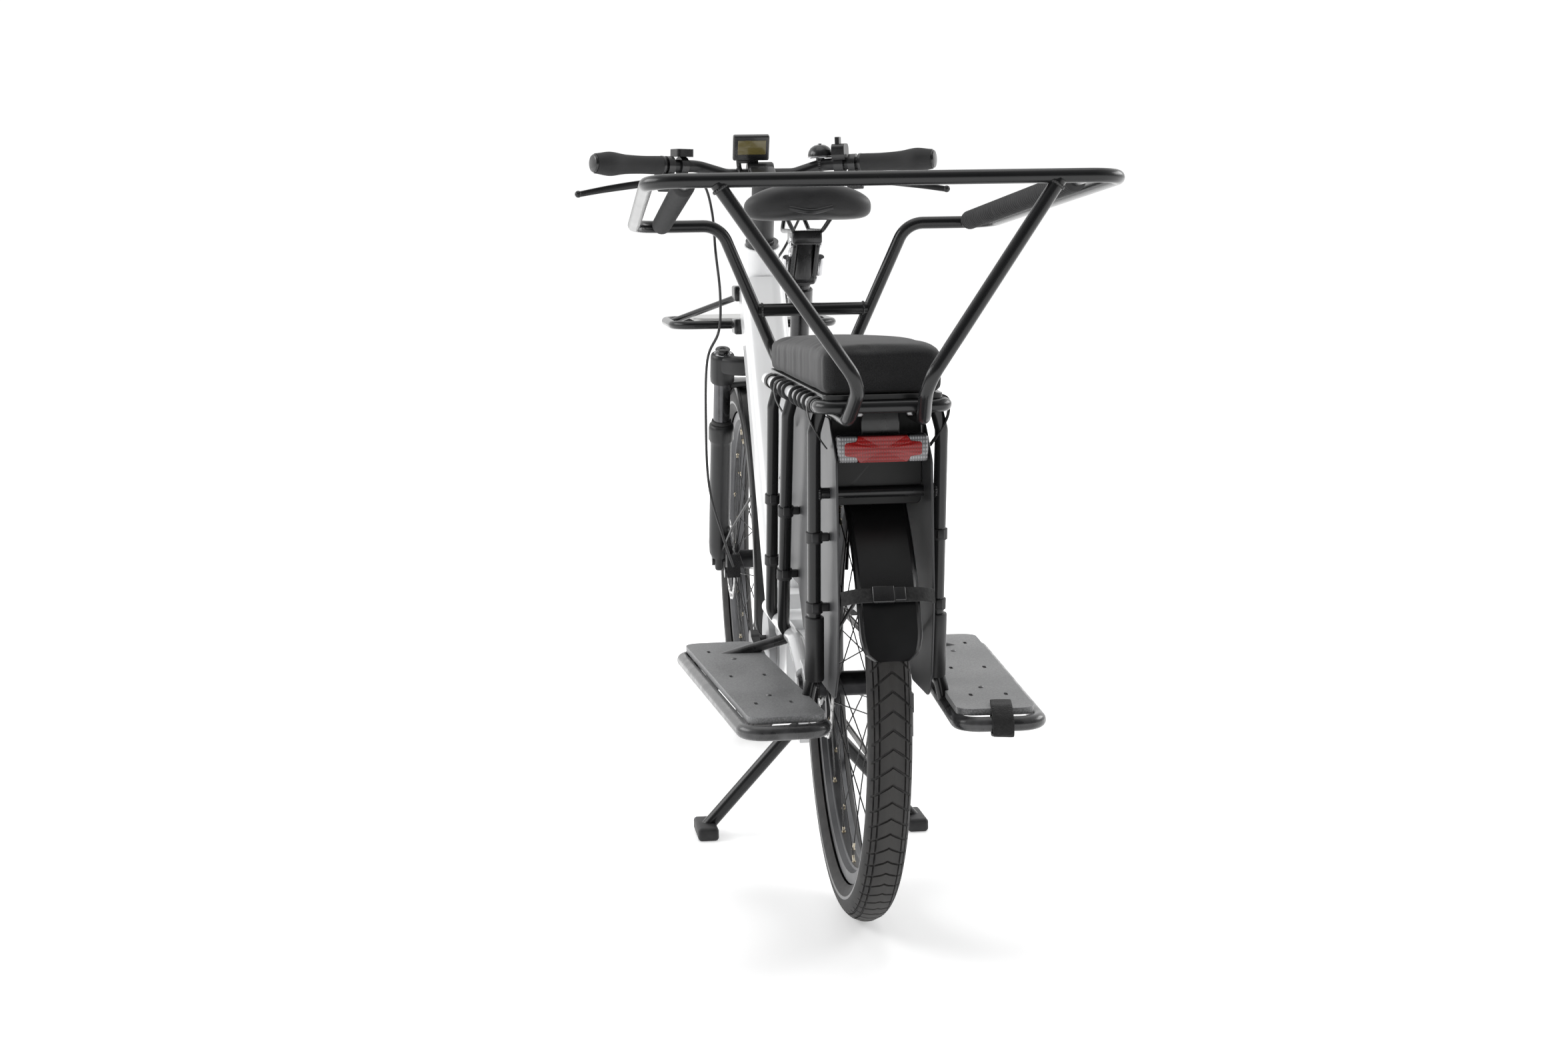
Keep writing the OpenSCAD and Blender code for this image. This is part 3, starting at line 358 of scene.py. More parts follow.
def mixed(tree, share, first, second):
    """A colour mix of two sockets or colours by a share."""
    node = add(tree, "ShaderNodeMix")
    node.data_type = "RGBA"
    tree.links.new(share, node.inputs["Factor"])
    for key, given in (("A", first), ("B", second)):
        socket = next(s for s in node.inputs if s.name == key and s.type == "RGBA")
        if isinstance(given, tuple):
            socket.default_value = (*given, 1)
        else:
            tree.links.new(given, socket)
    return next(s for s in node.outputs if s.type == "RGBA")


# Surface: broad patches between two colours, with their own roughness, and a fine grain.
surface_group, group_in, group_out = new_group(
    "Surface",
    (("Patch Scale", 9), ("Grain Scale", 700), ("Roughness", 0.4), ("Roughness Spread", 0.1), ("Fleck", 0.0)),
    ("Colour", "Patch Colour"),
    (("Colour", "NodeSocketColor"), ("Roughness", "NodeSocketFloat"), ("Height", "NodeSocketFloat")),
)
place_node = surface_group.nodes.new("ShaderNodeTexCoord").outputs["Object"]
patches = noise_node(surface_group, place_node, group_in.outputs["Patch Scale"], 5)
grain = noise_node(surface_group, place_node, group_in.outputs["Grain Scale"], 3)
share = ranged(surface_group, patches, 0.35, 0.68, 0.0, 1.0)
fleck = maths(surface_group, "MULTIPLY", ranged(surface_group, grain, 0.58, 0.72, 0.0, 1.0), group_in.outputs["Fleck"])
surface_group.links.new(
    mixed(surface_group, maths(surface_group, "MAXIMUM", share, fleck), group_in.outputs["Colour"],
          group_in.outputs["Patch Colour"]),
    group_out.inputs["Colour"],
)
low = maths(surface_group, "SUBTRACT", group_in.outputs["Roughness"], group_in.outputs["Roughness Spread"])
high = maths(surface_group, "ADD", group_in.outputs["Roughness"], group_in.outputs["Roughness Spread"])
surface_group.links.new(ranged(surface_group, patches, 0.3, 0.7, low, high), group_out.inputs["Roughness"])
surface_group.links.new(grain, group_out.inputs["Height"])


def finish_of(name, colour, patch_colour, roughness, spread=0.06, patch=9, grain=700, bump=0.08,
              depth=0.0004, fleck=0.0, metallic=0.0, coat=0.0, coat_roughness=0.08, specular=0.5, sheen=0.0):
    """A material whose colour, roughness and bump come from the Surface group."""
    material, tree, shader = plain_material(name, colour, roughness)
    shader.inputs["Metallic"].default_value = metallic
    shader.inputs["Coat Weight"].default_value = coat
    shader.inputs["Coat Roughness"].default_value = coat_roughness
    shader.inputs["Specular IOR Level"].default_value = specular
    shader.inputs["Sheen Weight"].default_value = sheen
    group = tree.nodes.new("ShaderNodeGroup")
    group.node_tree = surface_group
    group.inputs["Colour"].default_value = (*colour, 1)
    group.inputs["Patch Colour"].default_value = (*patch_colour, 1)
    for key, value in (("Patch Scale", patch), ("Grain Scale", grain), ("Roughness", roughness),
                       ("Roughness Spread", spread), ("Fleck", fleck)):
        group.inputs[key].default_value = value
    tree.links.new(group.outputs["Colour"], shader.inputs["Base Color"])
    tree.links.new(group.outputs["Roughness"], shader.inputs["Roughness"])
    relief = add(tree, "ShaderNodeBump")
    relief.inputs["Strength"].default_value = bump
    relief.inputs["Distance"].default_value = depth
    tree.links.new(group.outputs["Height"], relief.inputs["Height"])
    tree.links.new(relief.outputs["Normal"], shader.inputs["Normal"])
    return material


hose_rubber = finish_of("hose_rubber", (0.016, 0.016, 0.017), (0.028, 0.028, 0.029), 0.42, grain=900, bump=0.12)

BAR_HALF, GRIP_Z, GRIP_LENGTH = 304.0, 1105.0, 132.0
BAR_D, STEM_REACH = 22.2, 54.0
bar_middle = steerer_point(STEM_REACH, 0, HEAD_TOP + 8 + 130 - 22)
grip_end = np.array([bar_middle[0] - 82, BAR_HALF, GRIP_Z])
sweep_way = unit([52, -118, -4])


def grip_point(s, down, ahead):
    """A point s inboard of the left grip's end along the bar, moved below it and ahead of it."""
    f, t = math.atan2(sweep_way[1], sweep_way[0]), math.acos(sweep_way[2])
    below = np.array([math.cos(f) * math.cos(t), math.sin(f) * math.cos(t), -math.sin(t)])
    return grip_end + sweep_way * s + below * down + np.array([-math.sin(f), math.cos(f), 0]) * ahead


HOSE_D, CALIPER_TURN, CALIPER_FAR, ROTOR_Y = 5.0, math.radians(70), 104.0, 40.0
caliper_in = steerer_point(
    FORK_OFFSET - CALIPER_FAR * math.sin(CALIPER_TURN), ROTOR_Y + 6,
    AXLE_H + CALIPER_FAR * math.cos(CALIPER_TURN))
front_hose_route = [
    grip_point(203, 28, 17.5), grip_point(236, 34, 24), grip_point(254, 84, 26),
    steerer_point(8, 84, 640), steerer_point(0, 75, 560), steerer_point(0, 76, 486),
    steerer_point(6, 96, 424), steerer_point(-6, 98, 300), steerer_point(-26, 92, 180),
    steerer_point(-56, 68, 90), caliper_in]
front_hose = build("front_brake_hose", [swept(curve_through(front_hose_route, 8), round_section(HOSE_D, 12))],
                   hose_rubber)
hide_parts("front_hose")
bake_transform(front_hose)
rear_hose_route = [
    mirrored(grip_point(203, 28, 17.5)), mirrored(grip_point(236, 34, 24)), mirrored(grip_point(258, 84, 30)),
    np.array([1140, -52, 950]), steerer_point(26, -24, HEAD_BOTTOM + 128)]
rear_hose = build("rear_brake_hose", [swept(curve_through(rear_hose_route, 10), round_section(HOSE_D, 12))],
                  hose_rubber)
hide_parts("rear_hose")
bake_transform(rear_hose)


# ---- Tyres ----
# Wide touring tyres of dark rubber. A row of chevron blocks runs round the middle between two
# grooves, with smaller blocks on each shoulder, and a pale reflective line circles each sidewall.
TYRE_D, RIM_R, BLOCKS, TREAD_DEPTH = 60.0, 286.0, 84, 2.6
CHEVRON_LEAN = 0.78


def tyre_grid():
    """A torus over (round the wheel, round the section): the section's radius loses the tread's depth in the grooves,
    and each row is turned by the distance from the middle times the chevron's lean, so that rows follow the grooves."""
    section_r = TYRE_D / 2
    grooves = np.array([18.6, 27.2])
    edges = np.sort(np.concatenate([grooves - 1.5, grooves - 0.9, grooves + 0.9, grooves + 1.5]))
    tread = np.concatenate([[0, 3, 6], edges])
    tread = np.unique(np.concatenate([-tread, tread]))
    angles = tread / section_r
    wall = np.linspace(1.12, 2.42, 12)
    phi = np.concatenate([-wall[::-1], angles, wall])
    depth = np.zeros(len(phi))
    for g in grooves:
        depth = np.maximum(depth, (np.abs(np.abs(phi * section_r) - g) < 1.2) * 1.0)
    inner_phi = np.linspace(2.42, -2.42, 15)
    cut = np.array([0.0, 0.055, 0.085, 0.15, 0.32, 0.5, 0.68, 0.85, 0.915, 0.945])
    cut_depth = np.array([1.0, 1.0, 0, 0, 0, 0, 0, 0, 0, 1.0])
    u = ((np.arange(BLOCKS)[:, None] + cut[None]) / BLOCKS).ravel()
    across_cut = np.tile(cut_depth, BLOCKS)
    lateral = np.abs(phi * section_r)
    on_tread = (lateral < 31).astype(float)
    sink = np.maximum(depth[None] * on_tread[None], across_cut[:, None] * on_tread[None]) * TREAD_DEPTH
    edge_fade = np.clip((33 - lateral) / 6, 0.25, 1)[None]
    outer_r = section_r - sink * edge_fade
    lean = np.minimum(lateral, 31) * CHEVRON_LEAN / (WHEEL_R)
    turn = u[:, None] * 2 * math.pi + lean[None]
    y = outer_r * np.sin(phi)[None]
    r = WHEEL_R - TYRE_D / 2 + outer_r * np.cos(phi)[None]
    inner_r = section_r - 4
    y_in = np.broadcast_to(inner_r * np.sin(inner_phi)[None], (len(u), len(inner_phi)))
    r_in = np.broadcast_to(WHEEL_R - TYRE_D / 2 + inner_r * np.cos(inner_phi)[None], (len(u), len(inner_phi)))
    turn_in = np.broadcast_to(u[:, None] * 2 * math.pi, y_in.shape)
    y, r, turn = np.hstack([y, y_in]), np.hstack([r, r_in]), np.hstack([turn, turn_in])
    grid = np.stack([r * np.cos(turn), y, r * np.sin(turn)], -1)
    return np.concatenate([grid, grid[:1]])


def tyre_finish(name, axle_x):
    """Rubber, with patches of dust, a lighter band on the tread's crown and a reflective line where the distance from
    the axle fits.
    """
    material, tree, shader = plain_material(name, (0.02, 0.02, 0.021), 0.62)
    shader.inputs["Specular IOR Level"].default_value = 0.35
    place = tree.nodes.new("ShaderNodeTexCoord").outputs["Object"]
    shift = add(tree, "ShaderNodeMapping")
    shift.inputs["Location"].default_value = (-(REAR_AXLE_X + axle_x / 1000), 0, -WHEEL_R / 1000)
    tree.links.new(place, shift.inputs["Vector"])
    split = tree.nodes.new("ShaderNodeSeparateXYZ")
    tree.links.new(shift.outputs[0], split.inputs[0])
    x2 = maths(tree, "POWER", split.outputs["X"], 2.0)
    z2 = maths(tree, "POWER", split.outputs["Z"], 2.0)
    radius = maths(tree, "SQRT", maths(tree, "ADD", x2, z2))
    off_line = maths(tree, "ABSOLUTE", maths(tree, "SUBTRACT", radius, 0.3065))
    line = ranged(tree, off_line, 0.0019, 0.0024, 1.0, 0.0)
    scuffs = noise_node(tree, place, 60, 6)
    dust = ranged(tree, scuffs, 0.4, 0.75, 0.0, 1.0)
    rubber = mixed(tree, dust, (0.017, 0.0165, 0.0165), (0.034, 0.032, 0.031))
    outer = ranged(tree, radius, 0.3335, 0.3405, 0.0, 1.0)
    top_rubber = mixed(tree, outer, rubber, (0.040, 0.0385, 0.037))
    tree.links.new(mixed(tree, line, top_rubber, (0.16, 0.16, 0.16)), shader.inputs["Base Color"])
    tree.links.new(ranged(tree, line, 0.0, 1.0, 0.62, 0.38), shader.inputs["Roughness"])
    relief = add(tree, "ShaderNodeBump")
    relief.inputs["Strength"].default_value = 0.25
    relief.inputs["Distance"].default_value = 0.0004
    tree.links.new(noise_node(tree, place, 650, 4), relief.inputs["Height"])
    tree.links.new(relief.outputs["Normal"], shader.inputs["Normal"])
    return material


WHEELS = (("rear", 0.0, "rear_wheel"), ("front", WHEELBASE, "front_wheel"))
one_tyre = tyre_grid()
for wheel, axle_x, body in WHEELS:
    build(f"{wheel}_tyre_rubber", [one_tyre + np.array([axle_x, 0, WHEEL_R])], tyre_finish(f"{wheel}_rubber", axle_x),
          body, (f"{wheel}_tyre",), caps=False, sharp=28)


# ---- Rims, nipples and valves ----
# Each rim is a deep extruded aluminium hoop with a dark anodised skin and a brake-free flank.
# Thirty-two nickel nipples sit in its inner face, and a black valve with a cap stands inside it.
RIM_DEPTH, RIM_W, SPOKES, FLANGE_R, HUB_HALF = 22.0, 34.0, 32, 27.0, 32.0
AROUND = np.linspace(0, 2 * math.pi, 193)


def turned(profile, centre, axis, around=None):
    """A profile of (distance from the axis, distance along it) carried round the axis through centre."""
    profile, axis = np.asarray(profile, float), unit(axis)
    around = np.linspace(0, 2 * math.pi, 33) if around is None else around
    across, other = carried_axes(np.stack([axis * 0, axis]))
    ring = np.cos(around)[:, None] * across[0] + np.sin(around)[:, None] * other[0]
    return np.asarray(centre, float) + profile[None, :, :1] * ring[:, None] + profile[None, :, 1:] * axis


def knob(profile, centre, axis, sides=28):
    """A solid of revolution as rings from one end to the other, with profile given as (radius, height) pairs."""
    profile, axis = np.asarray(profile, float), unit(axis)
    across, other = carried_axes(np.stack([axis * 0, axis]))
    q = np.arange(sides) * 2 * math.pi / sides
    ring = np.cos(q)[:, None] * across[0] + np.sin(q)[:, None] * other[0]
    return np.asarray(centre, float) + profile[:, None, :1] * ring[None] + profile[:, None, 1:] * axis


def arc(centre, radius, start, end, steps):
    """Points of an arc, in degrees."""
    q = np.radians(np.linspace(start, end, steps))
    return np.stack([centre[0] + radius * np.cos(q), centre[1] + radius * np.sin(q)], 1)


rim_finish = finish_of("rim_anodising", (0.085, 0.086, 0.09), (0.11, 0.111, 0.115), 0.38, spread=0.07, patch=26,
                       grain=420, bump=0.05, metallic=0.75)
nipple_finish = finish_of("nipple_nickel", (0.55, 0.47, 0.34), (0.7, 0.66, 0.56), 0.3, patch=200, metallic=1.0)
valve_finish = finish_of("valve_black", (0.02, 0.02, 0.021), (0.04, 0.04, 0.04), 0.4, patch=100)
half_w, base_r, bed_r = RIM_W / 2, RIM_R - RIM_DEPTH, RIM_R - 7
rim_profile = np.vstack([
    [[RIM_R + 1.2, half_w - 1.2], [RIM_R + 1.2, half_w], [RIM_R - 9, half_w]],
    [[RIM_R - 14, half_w - 0.7], [base_r + 4.5, half_w * 0.52]],
    arc((base_r + 5, half_w * 0.3), 4.6, 150, 180, 4),
    arc((base_r + 5, -half_w * 0.3), 4.6, 180, 210, 4),
    [[base_r + 4.5, -half_w * 0.52], [RIM_R - 14, -half_w + 0.7]],
    [[RIM_R - 9, -half_w], [RIM_R + 1.2, -half_w], [RIM_R + 1.2, -half_w + 1.2]],
    [[RIM_R - 5, -half_w + 3], [bed_r, -half_w * 0.5], [bed_r - 2, 0], [bed_r, half_w * 0.5], [RIM_R - 5, half_w - 3]],
])
spoke_angle = np.arange(SPOKES) * 2 * math.pi / SPOKES
spoke_side = np.where(np.arange(SPOKES) % 2 == 0, 1.0, -1.0)
spoke_lead = np.where((np.arange(SPOKES) // 2) % 2 == 0, 1.0, -1.0)
hub_angle = spoke_angle + spoke_lead * math.radians(62)
spoke_start = np.stack([FLANGE_R * np.cos(hub_angle), spoke_side * (HUB_HALF - 2 + 3.4 * spoke_lead),
                        FLANGE_R * np.sin(hub_angle)], 1)
spoke_end = np.stack([(base_r + 4) * np.cos(spoke_angle), spoke_side * 3, (base_r + 4) * np.sin(spoke_angle)], 1)
nipple_profile = [(0.0, -13.5), (1.5, -13.5), (1.9, -12.5), (1.9, -4.5), (3.2, -4.2), (3.4, -2.4), (3.2, -1.2),
                  (0.0, -1.0)]
for wheel, axle_x, body in WHEELS:
    hub_place = np.array([axle_x, 0, WHEEL_R])
    build(f"{wheel}_rim_hoop", [turned(rim_profile, hub_place, (0, 1, 0), AROUND)], rim_finish, body,
          (f"{wheel}_rim",), caps=False, sharp=30)
    nipples = [knob(nipple_profile, hub_place + e, e - s, 8) for s, e in zip(spoke_start, spoke_end)]
    build(f"{wheel}_nipples", nipples, nipple_finish, body)
    valve_way = np.array([math.cos(0.098 + 1.9), 0, math.sin(0.098 + 1.9)])
    valve = [(0, -42), (2.4, -41.5), (3.0, -40), (3.0, -31), (2.6, -30.6), (2.6, -2), (5.2, -1.6), (5.2, 1.5), (0, 2)]
    build(f"{wheel}_valve", [knob(valve, hub_place + valve_way * base_r, valve_way, 14)], valve_finish, body)


# ---- Spokes, hubs, axles and brake rotors ----
# Black steel spokes run from black forged hub flanges. Each rotor is a ground steel ring with
# rows of slots, carried on a black spider that is bolted to the hub.
spoke_finish = finish_of("spoke_black", (0.02, 0.02, 0.021), (0.035, 0.035, 0.036), 0.3, patch=60, metallic=0.4)
hub_finish = finish_of("hub_anodising", (0.022, 0.022, 0.024), (0.04, 0.04, 0.042), 0.33, patch=70, metallic=0.6)
rotor_finish = finish_of("rotor_steel", (0.5, 0.5, 0.5), (0.62, 0.61, 0.6), 0.3, patch=90, grain=300, bump=0.15,
                         metallic=1.0)


def paint_node(finish, *names):
    """A CAD node that keeps its shape takes this finish."""
    for name in names:
        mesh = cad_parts[name].data
        mesh.materials.clear()
        mesh.materials.append(finish)


paint_node(spoke_finish, "rear_spokes", "front_spokes", "rear_axle", "front_axle")
paint_node(hub_finish, "rear_hub", "front_hub")
ROTOR_D, ROTOR_T = 160.0, 2.0


def rotor_grids(centre):
    """Two hoops whose edges wave twelve times round the axle, and slanted ribs between them that leave slots."""
    q = np.linspace(0, 2 * math.pi, 241)
    wave = 1.6 * np.sin(12 * q)
    outer, inner = ROTOR_D / 2 - 1.6 + wave, ROTOR_D / 2 - 16 + wave
    mid_out, mid_in = (outer * 2 + inner) / 3 + 0.8, (outer + inner * 2) / 3 - 0.8

    def hoop(r0, r1):
        r = np.stack([r0, r1, r1, r0], 1)
        y = np.array([1, 1, -1, -1]) * ROTOR_T / 2
        return np.stack([r * np.cos(q)[:, None], np.broadcast_to(y, r.shape), r * np.sin(q)[:, None]], -1) + centre

    def spokes_at(count, shift, r0, r1, width, bend):
        out = []
        for k in range(count):
            q0 = shift + k * 2 * math.pi / count
            rr = np.linspace(r0, r1, 5)
            qq = q0 + bend * (rr - r0) / (r1 - r0)
            path = np.stack([rr * np.cos(qq), rr * 0, rr * np.sin(qq)], 1) + centre
            box_section = np.array([(1, 1), (-1, 1), (-1, -1), (1, -1)]) * [ROTOR_T * 0.48, width / 2]
            out.append(swept(path, box_section, (0, 1, 0)))
        return out

    ribs = spokes_at(36, 0.05, ROTOR_D / 2 - 16, ROTOR_D / 2 - 3, 3.2, 0.14)
    return [hoop(outer, mid_out), hoop(mid_in, inner)] + ribs


def spider_grids(centre):
    """Six curved arms from a hub plate to the ring."""
    arms = []
    for k in range(6):
        r = np.linspace(20, ROTOR_D / 2 - 13, 9)
        q = k * math.pi / 3 + 0.5 * (r - 20) / 50
        path = np.stack([r * np.cos(q), r * 0, r * np.sin(q)], 1) + centre
        arms.append(swept(path, np.array([(1, 4.5), (-1, 4.5), (-1, -4.5), (1, -4.5)]) * [1.3, 1], (0, 1, 0),
                          scale=np.linspace(1.25, 0.75, 9)))
    return arms + [knob([(18.2, -1.2), (25, -1.2), (25, 1.2), (18.2, 1.2)], centre, (0, 1, 0), 36)]


for wheel, axle_x, body in WHEELS:
    rotor_centre = np.array([axle_x, 42.0 if wheel == "rear" else ROTOR_Y, WHEEL_R])
    parts = rotor_grids(rotor_centre)
    build(f"{wheel}_brake_ring", parts[:2], rotor_finish, body, (f"{wheel}_rotor",), caps=False,
          sharp=30)
    build(f"{wheel}_brake_ribs", parts[2:], rotor_finish, body, sharp=30)
    build(f"{wheel}_brake_spider", spider_grids(rotor_centre), hub_finish, body, sharp=30)


# ---- Frame ----
# A welded aluminium frame in gloss white. The down tube holds the battery and shows its lock
# port as a dark oval, and the welds leave a low rippled bead round each tube.
frame_paint = finish_of("frame_paint", (0.80, 0.805, 0.81), (0.74, 0.745, 0.75), 0.3, spread=0.04, patch=5,
                        grain=260, bump=0.03, coat=0.6, coat_roughness=0.06)
weld_paint = finish_of("weld_paint", (0.76, 0.765, 0.77), (0.70, 0.705, 0.71), 0.36, patch=60, bump=0.2, coat=0.4)
paint_node(frame_paint, "main_frame")
CRANK_X, CRANK_Z, STAY_Y, STAY_Z = 680.0, 290.0, 72.0, 390.0
SEAT_ANGLE = math.radians(75)
RAIL_Y, RAIL_Z, RAIL_D = 84.0, 763.0, 18.0


def seat_point(z):
    """The seat tube's axis at height z."""
    return np.array([CRANK_X + 14 - (z - CRANK_Z) / math.tan(SEAT_ANGLE), 0, z])


def tube(points, radius, diameter, sides=24, steps=10):
    """A bent round tube with flat ends."""
    return swept(bent_path(points, radius, steps), round_section(diameter, sides))


def bead(centre, axis, diameter, thickness=4.0, ripples=0):
    """A weld bead: a torus round a tube whose thickness rises and falls evenly."""
    axis = unit(axis)
    across, other = carried_axes(np.stack([axis * 0, axis]))
    q = np.linspace(0, 2 * math.pi, 97)
    fat = thickness * (1 + 0.16 * np.sin((ripples or int(diameter * 1.1)) * q))
    ring = np.cos(q)[:, None] * across[0] + np.sin(q)[:, None] * other[0]
    v = np.arange(8) * math.pi / 4
    r = diameter / 2 + fat[:, None] / 2 * np.cos(v)
    return np.asarray(centre, float) + r[..., None] * ring[:, None] + (fat[:, None] / 2 * np.sin(v))[..., None] * axis


def both_sides(grids):
    """The grids and their mirror images across the middle plane."""
    return list(grids) + [mirrored(g) for g in grids]


def plate(outline, axis, low, high, round_off=0.8):
    """A flat plate: an outline in the two other directions, carried from low to high along an axis, edges eased."""
    outline = np.asarray(outline, float)
    centre = outline.mean(0)
    size = np.abs(outline - centre).max()
    levels = [(low, 1 - round_off / size), (low + round_off, 1), (high - round_off, 1), (high, 1 - round_off / size)]
    if high < low:
        levels = [(low, 1 - round_off / size), (low - round_off, 1), (high + round_off, 1),
                  (high, 1 - round_off / size)]
    rows = []
    for level_at, k in levels:
        flat = centre + (outline - centre) * k
        rows.append(np.insert(flat, axis, level_at, axis=1))
    return np.array(rows)


def rounded_outline(corners, radius, steps=5):
    """A closed outline whose corners are arcs of the given radius."""
    c = np.asarray(corners, float)
    c3 = np.hstack([c, np.zeros((len(c), 1))])
    ring = np.vstack([(c3[-1] + c3[0])[None] / 2, c3, (c3[-1] + c3[0])[None] / 2])
    return bent_path(ring, radius, steps)[:-1, :2]


stay_route = [[CRANK_X - 80, 30, CRANK_Z + 30], [CRANK_X - 185, 42, STAY_Z - 4], [CRANK_X - 250, STAY_Y, STAY_Z],
              [90, STAY_Y, STAY_Z], [6, STAY_Y, WHEEL_R + 14]]
dropout = rounded_outline([(-26, WHEEL_R - 26), (30, WHEEL_R - 26), (38, WHEEL_R + 10), (30, WHEEL_R + 34),
                           (-6, WHEEL_R + 30), (-26, WHEEL_R + 12)], 9)
gusset = rounded_outline([(314, STAY_Z - 4), (374, STAY_Z - 4), (372, STAY_Z + 60), (350, STAY_Z + 64),
                          (316, STAY_Z + 30)], 7)
stays = both_sides([tube(stay_route, 44, 24), plate(dropout, 1, STAY_Y - 4, STAY_Y + 4),
                    plate(gusset, 1, STAY_Y - 3, STAY_Y + 3)])
stays.append(tube([[CRANK_X - 150, -38, STAY_Z - 32], [CRANK_X - 150, 38, STAY_Z - 32]], 5, 18))
build("stays_white", stays, frame_paint, "frame", ("rear_stays",), sharp=35)
head_axis = steerer_point(0, 0, 1) - steerer_point(0, 0, 0)
seat_axis = seat_point(400) - seat_point(300)
beads = [bead(seat_point(CRANK_Z + 98), seat_axis, 41, 4.5),
         bead(steerer_point(0, 0, HEAD_BOTTOM + 1.5), head_axis, 62, 3.0, 1),
         bead(steerer_point(0, 0, HEAD_TOP - 1.5), head_axis, 62, 3.0, 1)]
build("frame_beads", beads, weld_paint, "frame", caps=False)


# ---- Battery port and frame fittings ----
# The down tube's rear face has a dark rubber cover over the charging port, and small bolts
# close its unused eyelets.
def soft_box(centre, half, radius, turn=None, rows=10, columns=24):
    """A box with round edges: the unit sphere's points, each moved out by the box's core in its own octant."""
    half = np.asarray(half, float)
    core = np.maximum(half - radius, 0)
    v = np.linspace(-math.pi / 2, math.pi / 2, rows)
    q = (np.arange(columns) + 0.5) * 2 * math.pi / columns
    n = np.stack([np.cos(v)[:, None] * np.cos(q), np.cos(v)[:, None] * np.sin(q),
                  np.repeat(np.sin(v)[:, None], columns, 1)], -1)
    away = np.sign(np.round(n, 9))
    away[..., 2] = np.where(v < 0, -1, 1)[:, None]
    away[..., :2] = np.sign(np.stack([np.cos(q), np.sin(q)], -1))[None]
    points = away * core + n * np.minimum(radius, half)
    flat = points[:1] * 1.0
    flat_top = points[-1:] * 1.0
    points = np.concatenate([flat, points, flat_top])
    if turn is not None:
        points = points @ np.asarray(turn, float).T
    return points + np.asarray(centre, float)


def turn_about(axis, degrees):
    """A rotation matrix."""
    return np.array(Matrix.Rotation(math.radians(degrees), 3, Vector(axis)))


def bolt(centre, way, size=8.0, head=3.4):
    """A button-head bolt whose hexagonal socket is drawn round, as rings from its seat up and down into the socket."""
    s, h = size / 2, head
    return knob([(0, -0.2), (s, -0.2), (s, h * 0.35), (s * 0.9, h * 0.75), (s * 0.62, h), (s * 0.52, h),
                 (s * 0.5, h * 0.35), (0, h * 0.3)], centre, way, 12)


down_top = steerer_point(-8, 0, HEAD_BOTTOM + HEAD_LENGTH * 0.52)
down_foot = np.array([CRANK_X + 46, 0, CRANK_Z + 44])
down_way = unit(down_top - down_foot)
down_back = unit(np.cross((0, 1, 0), down_way))
if down_back[0] > 0:
    down_back = -down_back


def on_down_tube(share, side, out=0.0):
    """A point on the rear face of the down tube."""
    return down_foot + (down_top - down_foot) * share + np.array([0, side, 0]) + down_back * (46 + out)


port_rubber = finish_of("port_rubber", (0.02, 0.02, 0.021), (0.03, 0.03, 0.03), 0.45, bump=0.15)
port_turn = np.stack([np.array([0, 1, 0]), down_way, np.cross((0, 1, 0), down_way)], 1)
build("battery_port", [soft_box(on_down_tube(0.66, -3, 0.3), (8, 17, 2.2), 2.1, port_turn, 10, 24)], port_rubber,
      "frame")
bolt_finish = finish_of("bolt_steel", (0.16, 0.16, 0.165), (0.3, 0.3, 0.3), 0.3, patch=200, metallic=0.9)
black_bolt = finish_of("bolt_black", (0.02, 0.02, 0.021), (0.05, 0.05, 0.05), 0.32, patch=200, metallic=0.5)
frame_bolts = [bolt(on_down_tube(s, 0), down_back, 9) for s in (0.30, 0.36)]
build("frame_bolts", frame_bolts, black_bolt, "frame")


# ---- Safety bar ----
# Black powder-coated steel tube. A wide ring stands round the passengers at chest height, on two
# struts that rise from the rack's rear end and on a hoop that rises in front of the bench.
powder_coat = finish_of("powder_coat", (0.0105, 0.0108, 0.0114), (0.0135, 0.0138, 0.0144), 0.25, spread=0.03, patch=8,
                        grain=950, bump=0.02, coat=0.12, coat_roughness=0.12, specular=0.34)
tube_weld = finish_of("tube_weld", (0.014, 0.0143, 0.015), (0.024, 0.024, 0.025), 0.34, patch=80, bump=0.25)
RING_D, RING_BACK, RING_FRONT, HOOP_Y = 19.0, (-355.0, 309.0, 1059.0), (368.0, 280.0, 996.0), 146.0
BENCH_BACK, BENCH_FRONT, BENCH_TOP = -300.0, 306.0, 842.0


def across_middle(route):
    """A route on the left, joined across the middle plane to its mirror image."""
    route = np.asarray(route, float)
    return np.vstack([mirrored(route[::-1]), route])


front_knee = [RING_FRONT[0], HOOP_Y + 60, RING_FRONT[2]]
build("safety_ring_tube", [tube(across_middle([RING_BACK, RING_FRONT, front_knee]), 46, RING_D, 28, 14)],
      powder_coat, "frame", ("safety_ring",))
hoop_route = [front_knee, [RING_FRONT[0], HOOP_Y, RING_FRONT[2]], [404, 62, 800], [330, 52, RAIL_Z - 4],
              [280, 52, RAIL_Z - 4]]
hoop_cross = tube([[391, -86, 864], [391, 86, 864]], 5, RING_D + 1)
build("safety_hoop_tube", both_sides([tube(hoop_route, 40, RING_D, 28, 12)]) + [hoop_cross],
      powder_coat, "frame", ("safety_hoop",))
strut_route = [[RING_BACK[0], 221, RING_BACK[2] - 4], [-369, 43, 796], [BENCH_BACK - 6, 50, RAIL_Z - 16],
               [-180, 52, RAIL_Z - 16]]
build("safety_strut_tubes", both_sides([tube(strut_route, 40, RING_D, 28, 12)]),
      powder_coat, "frame", ("safety_struts",))
strut_way = np.array(strut_route[1], float) - strut_route[0]
